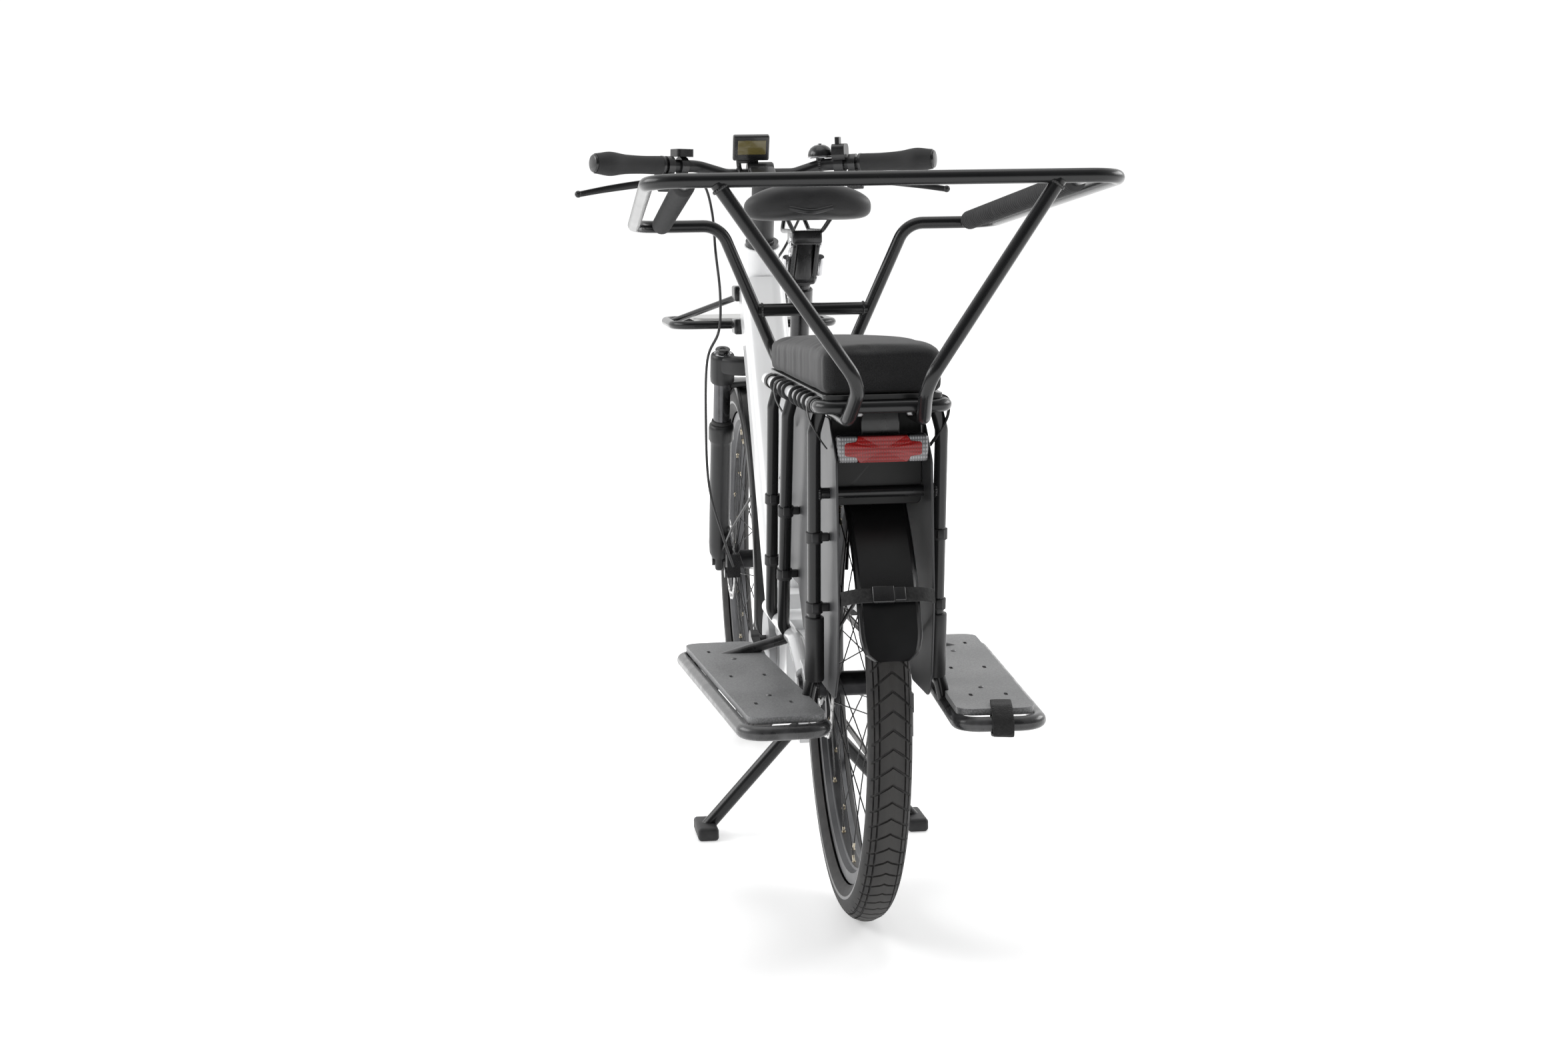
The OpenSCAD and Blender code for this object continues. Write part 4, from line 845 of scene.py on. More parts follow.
weld_beads = both_sides([
    bead(np.array(strut_route[0]) + unit(strut_way) * 8, strut_way, RING_D, 4.5, 18),
    bead((391, 80, 864), (0, 1, 0), RING_D, 4.0, 18),
])
build("safety_welds", weld_beads, tube_weld, "frame", caps=False)


# ---- Side handholds ----
# On each side a thinner tube runs inside the ring, with a sleeve of ribbed grey foam that the
# passengers hold on to.
foam = finish_of("handhold_foam", (0.022, 0.022, 0.023), (0.04, 0.04, 0.041), 0.72, patch=40, grain=520, bump=0.45,
                 depth=0.0006, specular=0.3)
hold_back = np.array([RING_BACK[0] + 4, 259, RING_BACK[2] - 0.4])
hold_front = np.array([RING_FRONT[0] - 3, 238, RING_FRONT[2] + 0.2])
hold_way = unit(hold_front - hold_back)
hold_span = np.linalg.norm(hold_front - hold_back)
rib_at = np.linspace(58, hold_span - 34, 420)
rib_r = 11.4 + 3.2 * np.abs(np.sin(math.pi * (rib_at - 58) / 11.2)) ** 0.7
rib_r[:4], rib_r[-4:] = np.linspace(8.2, rib_r[4], 4), np.linspace(rib_r[-5], 8.2, 4)
sleeve = knob(np.stack([rib_r, rib_at], 1), hold_back, hold_way, 24)
build("handhold_sleeves", both_sides([sleeve]), foam, "frame", ("ring_grips",), sharp=60)
build("handhold_tubes", both_sides([tube([hold_back, hold_front], 5, 16, 24)]), powder_coat, "frame")


# ---- Rack ----
# The rack is part of the white frame: two rails joined behind the seat tube, a black deck
# plate under the cushion, and cross tubes. Its rear end carries a black bent tube.
rack_front = seat_point(RAIL_Z - 30)
rail_route = [[BENCH_BACK - 4, RAIL_Y, RAIL_Z], [300, RAIL_Y, RAIL_Z], [rack_front[0] - 20, 19, RAIL_Z - 30]]
rails = both_sides([tube([[BENCH_BACK + 42, RAIL_Y, RAIL_Z], *rail_route[1:]], 34, RAIL_D, 28, 12)])
rails += [tube([[rack_front[0] - 20, -19, RAIL_Z - 30], [rack_front[0] - 20, 19, RAIL_Z - 30]], 5, RAIL_D, 28)]
rails += [tube([[x, -RAIL_Y, RAIL_Z], [x, RAIL_Y, RAIL_Z]], 5, 12) for x in (0, 200)]
build("rack_rails", rails, frame_paint, "frame", ("rack",))
rear_end = tube([[BENCH_BACK + 44, -RAIL_Y, RAIL_Z], [BENCH_BACK + 2, -RAIL_Y, RAIL_Z],
                 [BENCH_BACK + 2, RAIL_Y, RAIL_Z], [BENCH_BACK + 44, RAIL_Y, RAIL_Z]], 22, RAIL_D - 0.6, 24)
deck_outline = rounded_outline([(BENCH_BACK + 8, -RAIL_Y + 4), (BENCH_FRONT - 8, -RAIL_Y + 4),
                                (BENCH_FRONT - 8, RAIL_Y - 4), (BENCH_BACK + 8, RAIL_Y - 4)], 14)
deck = plate(deck_outline, 2, 771.2, 779)
cross_black = tube([[-200, -RAIL_Y, RAIL_Z], [-200, RAIL_Y, RAIL_Z]], 5, 12)
build("rack_deck", [rear_end, deck, cross_black], powder_coat, "frame", sharp=35)
deck_bolts = both_sides([bolt((BENCH_BACK + 4, 34, RAIL_Z - 8), (0, 0, -1), 11, 4.5),
                         bolt((BENCH_BACK + 60, 34, 771.4), (0, 0, -1), 9)])
build("rack_bolts", deck_bolts, bolt_finish, "frame")


# ---- Rack legs and footboard sockets ----
# Three black legs on each side run down from the rail. Velcro and rubber bands hold the wheel
# guard to them, and the rear leg ends in a round socket above the footboard's tube.
BOARD_TOP, BOARD_T, BOARD_TUBE_D, BOARD_BACK, BOARD_FRONT, BOARD_W = 365.0, 9.0, 20.0, -340.0, 250.0, 104.0
BOARD_SPLAY, BOARD_BACK_Y = math.radians(3.4), 86.0
TUBE_Z = BOARD_TOP - BOARD_T - BOARD_TUBE_D / 2
LEGS = ((214, 292, STAY_Z), (40, 146, STAY_Z), (-238, -196, TUBE_Z))


def inner_tube_y(x):
    """Where the footboard's inner tube lies, at x."""
    return BOARD_BACK_Y + 2 + (x - BOARD_BACK) * math.tan(BOARD_SPLAY)


def leg_route(top_x, foot_x, socket_z):
    """A leg's corners: under the rail, out to the rail's side, down to the stay, and into its socket."""
    foot_y = inner_tube_y(foot_x) if socket_z < STAY_Z else STAY_Y + 2
    return np.array([[top_x - 4, RAIL_Y - 6, RAIL_Z - RAIL_D / 2 + 2], [top_x, RAIL_Y + 2, 726.0],
                     [foot_x, STAY_Y + 12, STAY_Z + 12], [foot_x + 4, foot_y, socket_z]])


leg_tubes = both_sides([tube(leg_route(*leg), 26, RAIL_D, 28, 10) for leg in LEGS])
rear_leg = leg_route(*LEGS[2])
cross_at = 0.255
cross_point = rear_leg[1] + (rear_leg[2] - rear_leg[1]) * cross_at
leg_tubes.append(tube([mirrored(cross_point), cross_point], 5, 15))
build("rack_leg_tubes", leg_tubes, powder_coat, "frame", ("rack_legs",))
leg_welds = both_sides([bead(cross_point - [0, 7, 0], (0, 1, 0), 15, 5, 18)])
build("rack_leg_welds", leg_welds, tube_weld, "frame", caps=False)
socket_black = finish_of("socket_black", (0.02, 0.02, 0.021), (0.032, 0.032, 0.033), 0.4, patch=20, bump=0.08)
leg_down = rear_leg[2] - rear_leg[1]
socket_top = rear_leg[1] + leg_down * 0.78
socket_profile = [(RAIL_D / 2, 0), (12.6, 0.6), (13.2, 2), (13.2, 88), (12.4, 90), (RAIL_D / 2, 90)]
sockets = both_sides([knob(socket_profile, socket_top, leg_down, 32)])
build("leg_sockets", sockets, socket_black, "frame", sharp=30)
band_rubber = finish_of("band_rubber", (0.014, 0.014, 0.015), (0.026, 0.026, 0.027), 0.55, patch=60, grain=600,
                        bump=0.2)


def flat_section(width, thick, corner=0.45, sides=24):
    """A superellipse: |a/width|^n + |b/thick|^n = const, with n from the corner's roundness."""
    q = (np.arange(sides) + 0.5) * 2 * math.pi / sides
    c, s = np.cos(q), np.sin(q)
    return np.stack([np.sign(c) * np.abs(c) ** corner * width / 2, np.sign(s) * np.abs(s) ** corner * thick / 2], 1)


def band(centre, axis, inner_d, width, thick):
    """A flat band round a tube, closed on itself."""
    r = inner_d / 2
    return turned([(r, -width / 2), (r + thick, -width / 2 + 0.4), (r + thick, width / 2 - 0.4), (r, width / 2)],
                  centre, axis, np.linspace(0, 2 * math.pi, 41))


leg_bands, band_ears = [], []
for leg in LEGS:
    corners = leg_route(*leg)
    run_down = corners[2] - corners[1]
    for share_down in (0.44, 0.74):
        centre = corners[1] + run_down * share_down
        leg_bands.append(band(centre, run_down, RAIL_D, 15, 2.4))
        band_ears.append(soft_box(centre + [0, -12.5, 0], (6.5, 7.5, 5.5), 2))
        band_ears.append(soft_box(centre + [-11.5, 0, 0], (3.2, 5, 6), 1.6))
build("leg_bands", both_sides(leg_bands), band_rubber, "frame", ("leg_clamps",), caps=False, sharp=30)
build("leg_band_ears", both_sides(band_ears), band_rubber, "frame", sharp=30)


# ---- Rail straps ----
# Rubber rings and short velcro straps hold the guards and the cushion to the rails. A wide
# velcro strap wraps the rear corner of the rack.
webbing = finish_of("webbing", (0.016, 0.016, 0.0165), (0.036, 0.036, 0.036), 0.8, patch=240, grain=520, bump=0.6,
                    depth=0.0006, specular=0.25, sheen=0.2)
rail_rings = [turned([(RAIL_D / 2 - 0.2 + r, h) for r,
                      h in zip(2.6 + 2.6 * np.cos(np.linspace(0, 2 * math.pi, 9)[:-1]),
                               2.6 * np.sin(np.linspace(0, 2 * math.pi, 9)[:-1]))],
                     (x, RAIL_Y, RAIL_Z), (1, 0.06 * k, 0.05), np.linspace(0, 2 * math.pi, 33))
              for k, x in enumerate((150, 62, 20, -60, -108, -150, -196))]
build("rail_rings", both_sides(rail_rings), band_rubber, "frame", caps=False)
corner_strap = [turned([(RAIL_D / 2 + 0.1, -w / 2), (RAIL_D / 2 + 2.2, -w / 2 + 0.5), (RAIL_D / 2 + 2.2, w / 2 - 0.5),
                        (RAIL_D / 2 + 0.1, w / 2)],
                       (x, RAIL_Y, RAIL_Z), (1, 0, 0), np.linspace(0, 2 * math.pi, 33)) for x,
                w in ((BENCH_BACK + 56, 24), (236, 26), (118, 16))]
build("rail_straps", both_sides(corner_strap), webbing, "frame", caps=False, sharp=30)


def ribbon(route, width, thick, across, per_span=8):
    """A flat strap along a smooth curve, with its width in the direction across."""
    path = curve_through(route, per_span)
    return swept(path, flat_section(width, thick, 0.35, 16), across)


hang = [ribbon([(x, RAIL_Y + 10.4, RAIL_Z + 4), (x + 1, RAIL_Y + 11.5, RAIL_Z - 6), (x - 1, RAIL_Y + 8, RAIL_Z - 22),
                (x + 3 * s, RAIL_Y - 3, RAIL_Z - 42), (x + 5 * s, RAIL_Y - 14, RAIL_Z - 58)],
               15, 1.8, (1, 0, 0)) for x, s in ((BENCH_BACK + 56, 1), (118, -1))]
build("strap_tails", both_sides(hang), webbing, "frame", sharp=40)


# ---- Bench cushion ----
# A long foam pad in a dark grey woven cover. It is crowned on top, its sides pull in between the
# corners and pucker a little, and its underside lies flat on the rack's deck.
CUSHION_LOW, CUSHION_HALF = 779.6, 92.0


def weave_finish(name, colour, light_colour, thread):
    """Cloth: a fine speckle of threads over broad worn patches between two greys."""
    material, tree, shader = plain_material(name, colour, 0.85)
    shader.inputs["Sheen Weight"].default_value = 0.25
    shader.inputs["Sheen Roughness"].default_value = 0.45
    shader.inputs["Specular IOR Level"].default_value = 0.2
    place = tree.nodes.new("ShaderNodeTexCoord").outputs["Object"]
    threads = noise_node(tree, place, thread, 3)
    worn = ranged(tree, noise_node(tree, place, 14, 6), 0.38, 0.7, 0.0, 1.0)
    shade = mixed(tree, worn, colour, light_colour)
    fine = ranged(tree, threads, 0.35, 0.65, 0.0, 1.0)
    tree.links.new(mixed(tree, fine, tuple(c * 0.6 for c in colour), shade), shader.inputs["Base Color"])
    relief = add(tree, "ShaderNodeBump")
    relief.inputs["Strength"].default_value = 0.5
    relief.inputs["Distance"].default_value = 0.0006
    tree.links.new(threads, relief.inputs["Height"])
    tree.links.new(relief.outputs["Normal"], shader.inputs["Normal"])
    return material


cushion_cloth = weave_finish("cushion_cloth", (0.019, 0.019, 0.020), (0.030, 0.030, 0.031), 700)


def pad_grid(low, high, half, inset, radius):
    """A rounded slab: superellipse rings in plan, drawn in by a quarter circle towards the top and bottom."""
    q = np.arange(96) * 2 * math.pi / 96
    c, s = np.cos(q), np.sin(q)
    plan = np.stack([np.sign(c) * np.abs(c) ** 0.2, np.sign(s) * np.abs(s) ** 0.2], 1)
    size = np.array([(BENCH_FRONT - BENCH_BACK) / 2 - inset, half - inset])
    middle = np.array([(BENCH_FRONT + BENCH_BACK) / 2, 0])
    turn = np.linspace(0, math.pi / 2, 6)
    rise = np.concatenate([low + radius * (1 - np.cos(turn)), high - radius * (1 - np.sin(turn))])
    draw = np.concatenate([radius * (1 - np.sin(turn)), radius * (1 - np.cos(turn))])
    rings = []
    for z, d in zip(rise, draw):
        flat = middle + plan * (size - d)
        rings.append(np.column_stack([flat, np.full(len(q), z)]))
    return np.array(rings)


def points_of(piece):
    """A piece's vertices in metres."""
    flat = np.zeros(len(piece.data.vertices) * 3, np.float32)
    piece.data.vertices.foreach_get("co", flat)
    return flat.reshape(-1, 3).astype(float)


VOXEL, PRESSURE, MOST_SWELL = 0.006, 4, 0.006
cushion = build("bench_cushion_pad", [pad_grid(CUSHION_LOW, BENCH_TOP - 6, CUSHION_HALF, 4, 11)], cushion_cloth)
remesh = cushion.modifiers.new("voxels", "REMESH")
remesh.mode = "VOXEL"
remesh.voxel_size = VOXEL
bpy.context.view_layer.objects.active = cushion
cushion.select_set(True)
bpy.ops.object.modifier_apply(modifier="voxels")
rest = points_of(cushion)
cloth = cushion.modifiers.new("cloth", "CLOTH")
cloth.settings.use_pressure = True
cloth.settings.uniform_pressure_force = PRESSURE
cloth.settings.effector_weights.gravity = 0
cloth.settings.quality = 6
for step in range(1, 21):
    bpy.context.scene.frame_set(step)
bpy.ops.object.modifier_apply(modifier="cloth")
bpy.context.scene.frame_set(1)
cushion.select_set(False)
move = points_of(cushion) - rest
far = np.linalg.norm(move, axis=1, keepdims=True)
points = rest + move * np.minimum(1, MOST_SWELL / np.maximum(far, 1e-9))
# The crown rises in the middle, the front end sags, the sides pull in with puckers and the ends draw in.
centre_x = REAR_AXLE_X + (BENCH_FRONT + BENCH_BACK) / 2000
along_pad = (points[:, 0] - centre_x) / 0.303
over_pad = points[:, 1] / 0.092
height_share = np.clip((points[:, 2] - CUSHION_LOW / 1000) / 0.058, 0, 1)
crown = 0.006 * (1 - np.clip(over_pad, -1, 1) ** 2) * (1 - along_pad**4).clip(0, 1) * (height_share > 0.6)
points[:, 2] += crown
sag = np.clip((along_pad + 0.75) / 1.75, 0, 1)
points[:, 2] -= 0.015 * sag * sag * (3 - 2 * sag) * height_share
on_side = (np.abs(over_pad) > 0.86) * np.sin(math.pi * height_share) ** 0.7
pucker = np.sin(along_pad * 31 + 1.3) * 0.5 + np.sin(along_pad * 53 + 0.4) * 0.3 + np.sin(along_pad * 17) * 0.4
points[:, 1] += np.sign(over_pad) * on_side * (pucker * 0.0011 * (0.45 + 0.55 * (along_pad > -0.35)) - 0.0022)
on_end = (np.abs(along_pad) > 0.965) * np.sin(math.pi * height_share)
points[:, 0] -= np.sign(along_pad) * on_end * 0.0025
points[:, 1] = np.clip(points[:, 1], -0.0955, 0.0955)
points[:, 2] = np.clip(points[:, 2], CUSHION_LOW / 1000, 0.8465)
cushion.data.vertices.foreach_set("co", points.astype(np.float32).ravel())
cushion.data.update()
cushion.data.shade_smooth()
smoother = cushion.modifiers.new("subdivision", "SUBSURF")
smoother.levels = smoother.render_levels = 1
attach(cushion, "frame")
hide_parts("bench_cushion")


# ---- Saddle ----
# A wide comfort saddle: a moulded foam pad with a soft black cover, a hard shell below with a
# rear bumper, and two steel rails. A sprung linkage carries it on the seat post.
saddle_skin = finish_of("saddle_skin", (0.013, 0.013, 0.014), (0.021, 0.021, 0.022), 0.46, spread=0.08, patch=18,
                        grain=620, bump=0.32, depth=0.0005, sheen=0.1)
shell_plastic = finish_of("shell_plastic", (0.015, 0.015, 0.016), (0.026, 0.026, 0.027), 0.36, patch=30, bump=0.1)
SADDLE_BACK, SADDLE_LENGTH, SADDLE_HALF, SADDLE_Z = 388.0, 268.0, 101.0, 1012.0


def saddle_grid(shrink=0.0):
    """Cross-sections along the saddle. The half width falls from the wings to the nose as a smooth step, the
    upper side is a flat crown with a shallow middle channel, and the skirt curls in below."""
    u = np.linspace(0.0, 1.0, 46)
    past_back, past_nose = np.clip(0.12 - u, 0, 1) / 0.12, np.clip(u - 0.93, 0, 1) / 0.07
    ends = np.sqrt(np.clip(1 - past_back**2, 0, 1)) * np.sqrt(np.clip(1 - past_nose**2, 0, 1))
    ease = np.clip((u - 0.18) / 0.5, 0, 1)
    ease = ease * ease * (3 - 2 * ease)
    half = (SADDLE_HALF * (1 - ease) + 25 * ease) * (0.55 + 0.45 * np.clip(u / 0.14, 0, 1) ** 0.5)
    q = np.arange(48) * 2 * math.pi / 48 + math.pi / 48
    c, s = np.cos(q), np.sin(q)
    side = np.sign(c) * np.abs(c) ** 0.75
    upper = np.where(s > 0, np.abs(s) ** 0.62, -np.abs(s) ** 0.8)
    rise = 18 + 8 * np.cos(u * 2.2) - 6 * np.sin(u * math.pi) + 5 * np.clip(0.3 - u, 0, 1)
    drop = 42 - 24 * ease
    top_z = SADDLE_Z + 24
    channel_along = np.sin(np.clip(u, 0.05, 0.8) / 0.8 * math.pi)[:, None]
    channel = -3.2 * np.exp(-((side[None] * half[:, None]) / 13) ** 2) * (s > 0.2)[None] * channel_along
    droop = -14 * (np.abs(side[None]) ** 2.5) * (1 - ease)[:, None]
    z = top_z + np.where(upper > 0, upper * rise[:, None], upper * drop[:, None] * 0.8) + channel + droop
    k = np.maximum(ends, 0.02)[:, None]
    z = top_z - 6 + (z - top_z + 6) * (0.35 + 0.65 * k)
    y = side[None] * (half[:, None] - shrink) * (0.4 + 0.6 * k) * k**0.25
    x = SADDLE_BACK + u * SADDLE_LENGTH
    return np.stack([np.repeat(x[:, None], 48, 1), y, z], -1)


saddle = build("saddle_pad", [saddle_grid()], saddle_skin, sharp=80)
smoother = saddle.modifiers.new("subdivision", "SUBSURF")
smoother.levels = smoother.render_levels = 1
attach(saddle, "seat")
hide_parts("saddle")
bumper = tube([[SADDLE_BACK + 6, -34, SADDLE_Z + 10], [SADDLE_BACK, 0, SADDLE_Z + 3],
               [SADDLE_BACK + 6, 34, SADDLE_Z + 10]], 40, 9, 16, 10)
shell_grid = saddle_grid(10)
shell_grid[..., 2] = SADDLE_Z + 3 + (shell_grid[..., 2] - (SADDLE_Z + 20)) * 0.32
shell_grid[..., 0] = SADDLE_BACK + 10 + (shell_grid[..., 0] - SADDLE_BACK) * 0.9
build("saddle_shell", [bumper, shell_grid], shell_plastic, "seat", sharp=50)

# The linkage: a lower clamp on the post, two side plates with round pivots, and a rail clamp.
seat_black = finish_of("seat_alloy", (0.02, 0.02, 0.021), (0.034, 0.034, 0.035), 0.28, patch=40, metallic=0.4,
                       coat=0.3)
polished = finish_of("polished_alloy", (0.55, 0.55, 0.56), (0.66, 0.66, 0.67), 0.16, patch=60, metallic=1.0)
head = seat_point(900)
link_plate = rounded_outline([(head[0] - 86, 968), (head[0] - 52, 984), (head[0] - 14, 936), (head[0] + 14, 918),
                              (head[0] + 6, 898), (head[0] - 22, 904)], 9)
linkage = [soft_box(head + [-5, 0, 11], (24, 21, 12), 5),
           soft_box((head[0] - 30, 0, 940), (17, 15.2, 44), 6, turn_about((0, 1, 0), -33)),
           soft_box((head[0] - 58, 0, 975), (34, 24, 11), 5),
           plate(link_plate, 1, 15, 21.5, 1.2), plate(link_plate, 1, -21.5, -15, 1.2),
           knob([(0, -1), (19, -1), (20, 2), (20, 26), (18, 28), (0, 28)], seat_point(866), seat_axis, 32)]
build("seat_linkage", linkage, seat_black, "seat", ("seat_head",), sharp=32)
pivots = both_sides([knob([(0, 0), (9.5, 0), (9.5, 3), (8, 4.4), (3.4, 4.4), (3, 2.4), (0, 2.4)],
                          (head[0] + dx, 21.4, z), (0, 1, 0), 24)
                     for dx, z in ((-6, 912), (-66, 968))])
barrel = [(0, -17), (6.5, -17), (7.5, -13), (7.5, 13), (6.5, 17), (0, 17)]
pivots += [knob(barrel, (head[0] - 30, y, 930), (-0.75, 0, 1), 20) for y in (27, -27)]
pivots += both_sides([soft_box((head[0] - 24, 17.6, 934), (9, 6.2, 24), 5.4, turn_about((0, 1, 0), -33))])
build("seat_pivots", pivots, polished, "seat")
rail_steel = finish_of("rail_steel", (0.03, 0.03, 0.031), (0.05, 0.05, 0.05), 0.25, patch=60, metallic=0.8)
rails_route = [[SADDLE_BACK + 20, 42, SADDLE_Z + 6], [SADDLE_BACK + 46, 23, 985], [SADDLE_BACK + 196, 22, 985],
               [SADDLE_BACK + 228, 12, SADDLE_Z + 8]]
build("saddle_rails", both_sides([tube(rails_route, 18, 7, 14)]), rail_steel, "seat")
paint_node(seat_black, "seat_post", "seat_clamp")


# ---- Rear light ----
# A black plastic housing under the rack holds a wide red lens, ribbed inside, with clear
# prismatic reflectors at its four corners.
LIGHT_Z, LIGHT_X, LIGHT_W, LIGHT_H = 706.0, -280.0, 122.0, 37.0


def lens_finish(name, colour, rib_shade_colour, roughness):
    """Moulded plastic over fine upright ribs, with painted highlights on the ribs' faces and painted shade between
    them.
    """
    material, tree, shader = plain_material(name, colour, roughness)
    shader.inputs["Coat Weight"].default_value = 0.25
    shader.inputs["Coat Roughness"].default_value = 0.06
    place = tree.nodes.new("ShaderNodeTexCoord").outputs["Object"]
    rib = add(tree, "ShaderNodeTexWave")
    rib.bands_direction = "Y"
    rib.inputs["Scale"].default_value = 90
    tree.links.new(place, rib.inputs["Vector"])
    cross_rib = add(tree, "ShaderNodeTexWave")
    cross_rib.bands_direction = "Z"
    cross_rib.inputs["Scale"].default_value = 60
    tree.links.new(place, cross_rib.inputs["Vector"])
    rib_relief_and_light = maths(tree, "MULTIPLY", rib.outputs["Fac"], cross_rib.outputs["Fac"])
    cloud = maths(tree, "MULTIPLY", noise_node(tree, place, 22, 2), 0.6)
    # Painted light: the ribs and a cloudy tone mix the lens from its shaded colour to its lit one, a painted highlight
    # on the rib faces and painted shade in the grooves.
    tree.links.new(mixed(tree, maths(tree, "ADD", rib_relief_and_light, cloud), rib_shade_colour, colour), shader.inputs["Base Color"])
    relief = add(tree, "ShaderNodeBump")
    relief.inputs["Strength"].default_value = 0.35
    relief.inputs["Distance"].default_value = 0.0006
    tree.links.new(rib_relief_and_light, relief.inputs["Height"])
    tree.links.new(relief.outputs["Normal"], shader.inputs["Normal"])
    return material


# The second colour of each lens is the painted shade between its ribs.
red_lens = lens_finish("red_lens", (0.30, 0.002, 0.002), (0.13, 0.0008, 0.001), 0.3)
clear_lens = lens_finish("clear_lens", (0.36, 0.36, 0.37), (0.03, 0.03, 0.031), 0.12)
light_black = finish_of("light_black", (0.008, 0.008, 0.0085), (0.013, 0.013, 0.014), 0.3, patch=40, bump=0.08,
                        coat=0.3)
housing = [soft_box((LIGHT_X + 15, 0, LIGHT_Z), (10, LIGHT_W / 2, LIGHT_H / 2), 6, rows=12, columns=32),
           soft_box((LIGHT_X + 24, 0, LIGHT_Z + 34), (5, 26, 30), 3),
           soft_box((LIGHT_X + 20, 0, LIGHT_Z + 60), (11, 26, 3), 1.5)]
build("light_housing", housing, light_black, "frame", ("rear_light",), sharp=32)
half_y, half_z = LIGHT_W / 2 - 2.5, LIGHT_H / 2 - 2
lens_step = [(half_y - 26, half_z + 1), (half_y - 21, half_z - 6), (half_y - 6, half_z - 8)]
lens_corners = ([(y, -z) for y, z in lens_step] + lens_step[::-1]
                + [(-y, z) for y, z in lens_step] + [(-y, -z) for y, z in lens_step[::-1]])
red_plan = rounded_outline(lens_corners[-1:] + lens_corners[:-1], 3, 4)
lens_levels = ((LIGHT_X + 6, 1.0), (LIGHT_X - 1.5, 1.0), (LIGHT_X - 3.4, 0.975), (LIGHT_X - 4, 0.93))
red_rows = np.array([np.column_stack([np.full(len(red_plan), x), red_plan * k]) for x, k in lens_levels])
red_rows += np.array([0, 0, LIGHT_Z])
build("light_lens", [red_rows], red_lens, "frame", ("rear_light_lens",), sharp=30)
clear_end = soft_box((LIGHT_X + 2, half_y - 12, LIGHT_Z), (5, 14.0, half_z + 0.8), 4.2, rows=12, columns=32)
build("light_reflectors", both_sides([clear_end]), clear_lens, "frame", sharp=40)


# ---- Wheel guards ----
# Flat sheets of smooth dark grey plastic, one on each side of the rear wheel. They keep feet out
# of the spokes.
guard_plastic = finish_of("guard_plastic", (0.034, 0.0345, 0.037), (0.042, 0.0425, 0.045), 0.42, spread=0.05, patch=6,
                          grain=1100, bump=0.05)
guard_outline = rounded_outline([(-296, 500), (-277, 402), (-250, 367), (-124, 367), (-108, 413), (60, 413),
                                 (112, 471), (262, 471), (250, 690), (200, 744), (-230, 744), (-290, 690)], 16, 6)
guards = both_sides([plate(guard_outline, 1, 62, 65, 0.9)])
build("guard_sheets", guards, guard_plastic, "frame", ("wheel_guards",), sharp=35)


# ---- Mudguards ----
# Long black plastic guards with a flat middle, rolled side ridges and turned-down lips. The rear
# one ends in a black tail panel low behind the wheel, its end rounded, and a webbing strap with a buckle ties it in.
mudguard_plastic = finish_of("mudguard_plastic", (0.0065, 0.0067, 0.0072), (0.010, 0.0103, 0.011), 0.34, spread=0.08,
                             patch=11, grain=800, bump=0.06)
panel_black = finish_of("panel_black", (0.004, 0.0041, 0.0044), (0.007, 0.0072, 0.0075), 0.55, patch=10, bump=0.05)


def mudguard_grid(axle_x, radius, width, start, end, tail):
    """A strip carried round the wheel: its section is flat, rises at a ridge near each edge and turns down in a lip.
    Over the last degrees the strip narrows by a quarter ellipse, so its tail is round."""
    angle = np.radians(np.linspace(start, end, 96))
    half = width / 2
    side = np.array([-1, -1, -0.97, -0.90, -0.84, -0.5, 0, 0.5, 0.84, 0.90, 0.97, 1, 1])
    lift = np.array([-9, -3, 1.5, 3.0, 0.6, 0, 0, 0, 0.6, 3.0, 1.5, -3, -9])
    skin = np.concatenate([side * half, (side * (half - 1.6))[::-1]])
    height = np.concatenate([lift, (lift - 1.8)[::-1]])
    left = np.clip((np.radians(end) - angle) / math.radians(tail), 0, 1)
    narrow = 0.55 + 0.45 * np.sqrt(1 - (1 - left) ** 2)
    r = radius + height[None]
    x = axle_x + r * np.cos(angle)[:, None]
    z = WHEEL_R + r * np.sin(angle)[:, None]
    y = skin[None] * narrow[:, None]
    return np.stack([x, y, z], -1)


mudguard_rods = both_sides([tube([[-306, 40, 513], [-150, 54, 430], [-12, 66, 363]], 60, 5, 12)])
build("rear_mudguard_strip", [mudguard_grid(0, 355, 84, 20, 165, 7)], mudguard_plastic, "frame",
      ("rear_mudguard",), sharp=28)
build("rear_mudguard_rods", mudguard_rods, black_bolt, "frame")
build("front_mudguard_strip", [mudguard_grid(WHEELBASE, 355, 68, 50, 196, 7)], mudguard_plastic, "fork_slider",
      ("front_mudguard",), sharp=28)
front_rod = [[WHEELBASE - 318, 32, 500], [WHEELBASE - 150, 52, 420], [WHEELBASE - 8, 60, 352]]
build("front_mudguard_rods", both_sides([tube(front_rod, 60, 5, 12)]), black_bolt, "fork_slider")
strap_angle = math.radians(151)
strap_at = np.array([360.5 * math.cos(strap_angle), 0, WHEEL_R + 360.5 * math.sin(strap_angle)])
strap_out = np.array([math.cos(strap_angle), 0, math.sin(strap_angle)])
strap_side = np.array([-62, -44, -20, 0, 20, 44, 62.0])
strap_rise = np.array([-9, 0.5, 2, 2, 2, 0.5, -9])
strap_way = strap_at + strap_side[:, None] * np.array([0, 1, 0]) + strap_rise[:, None] * strap_out
build("mudguard_strap", [ribbon(strap_way, 20, 2.4, np.cross(strap_out, [0, 1, 0]))], webbing, "frame")
buckle_turn = np.stack([[0, 1, 0], np.cross(strap_out, [0, 1, 0]), strap_out], 1)
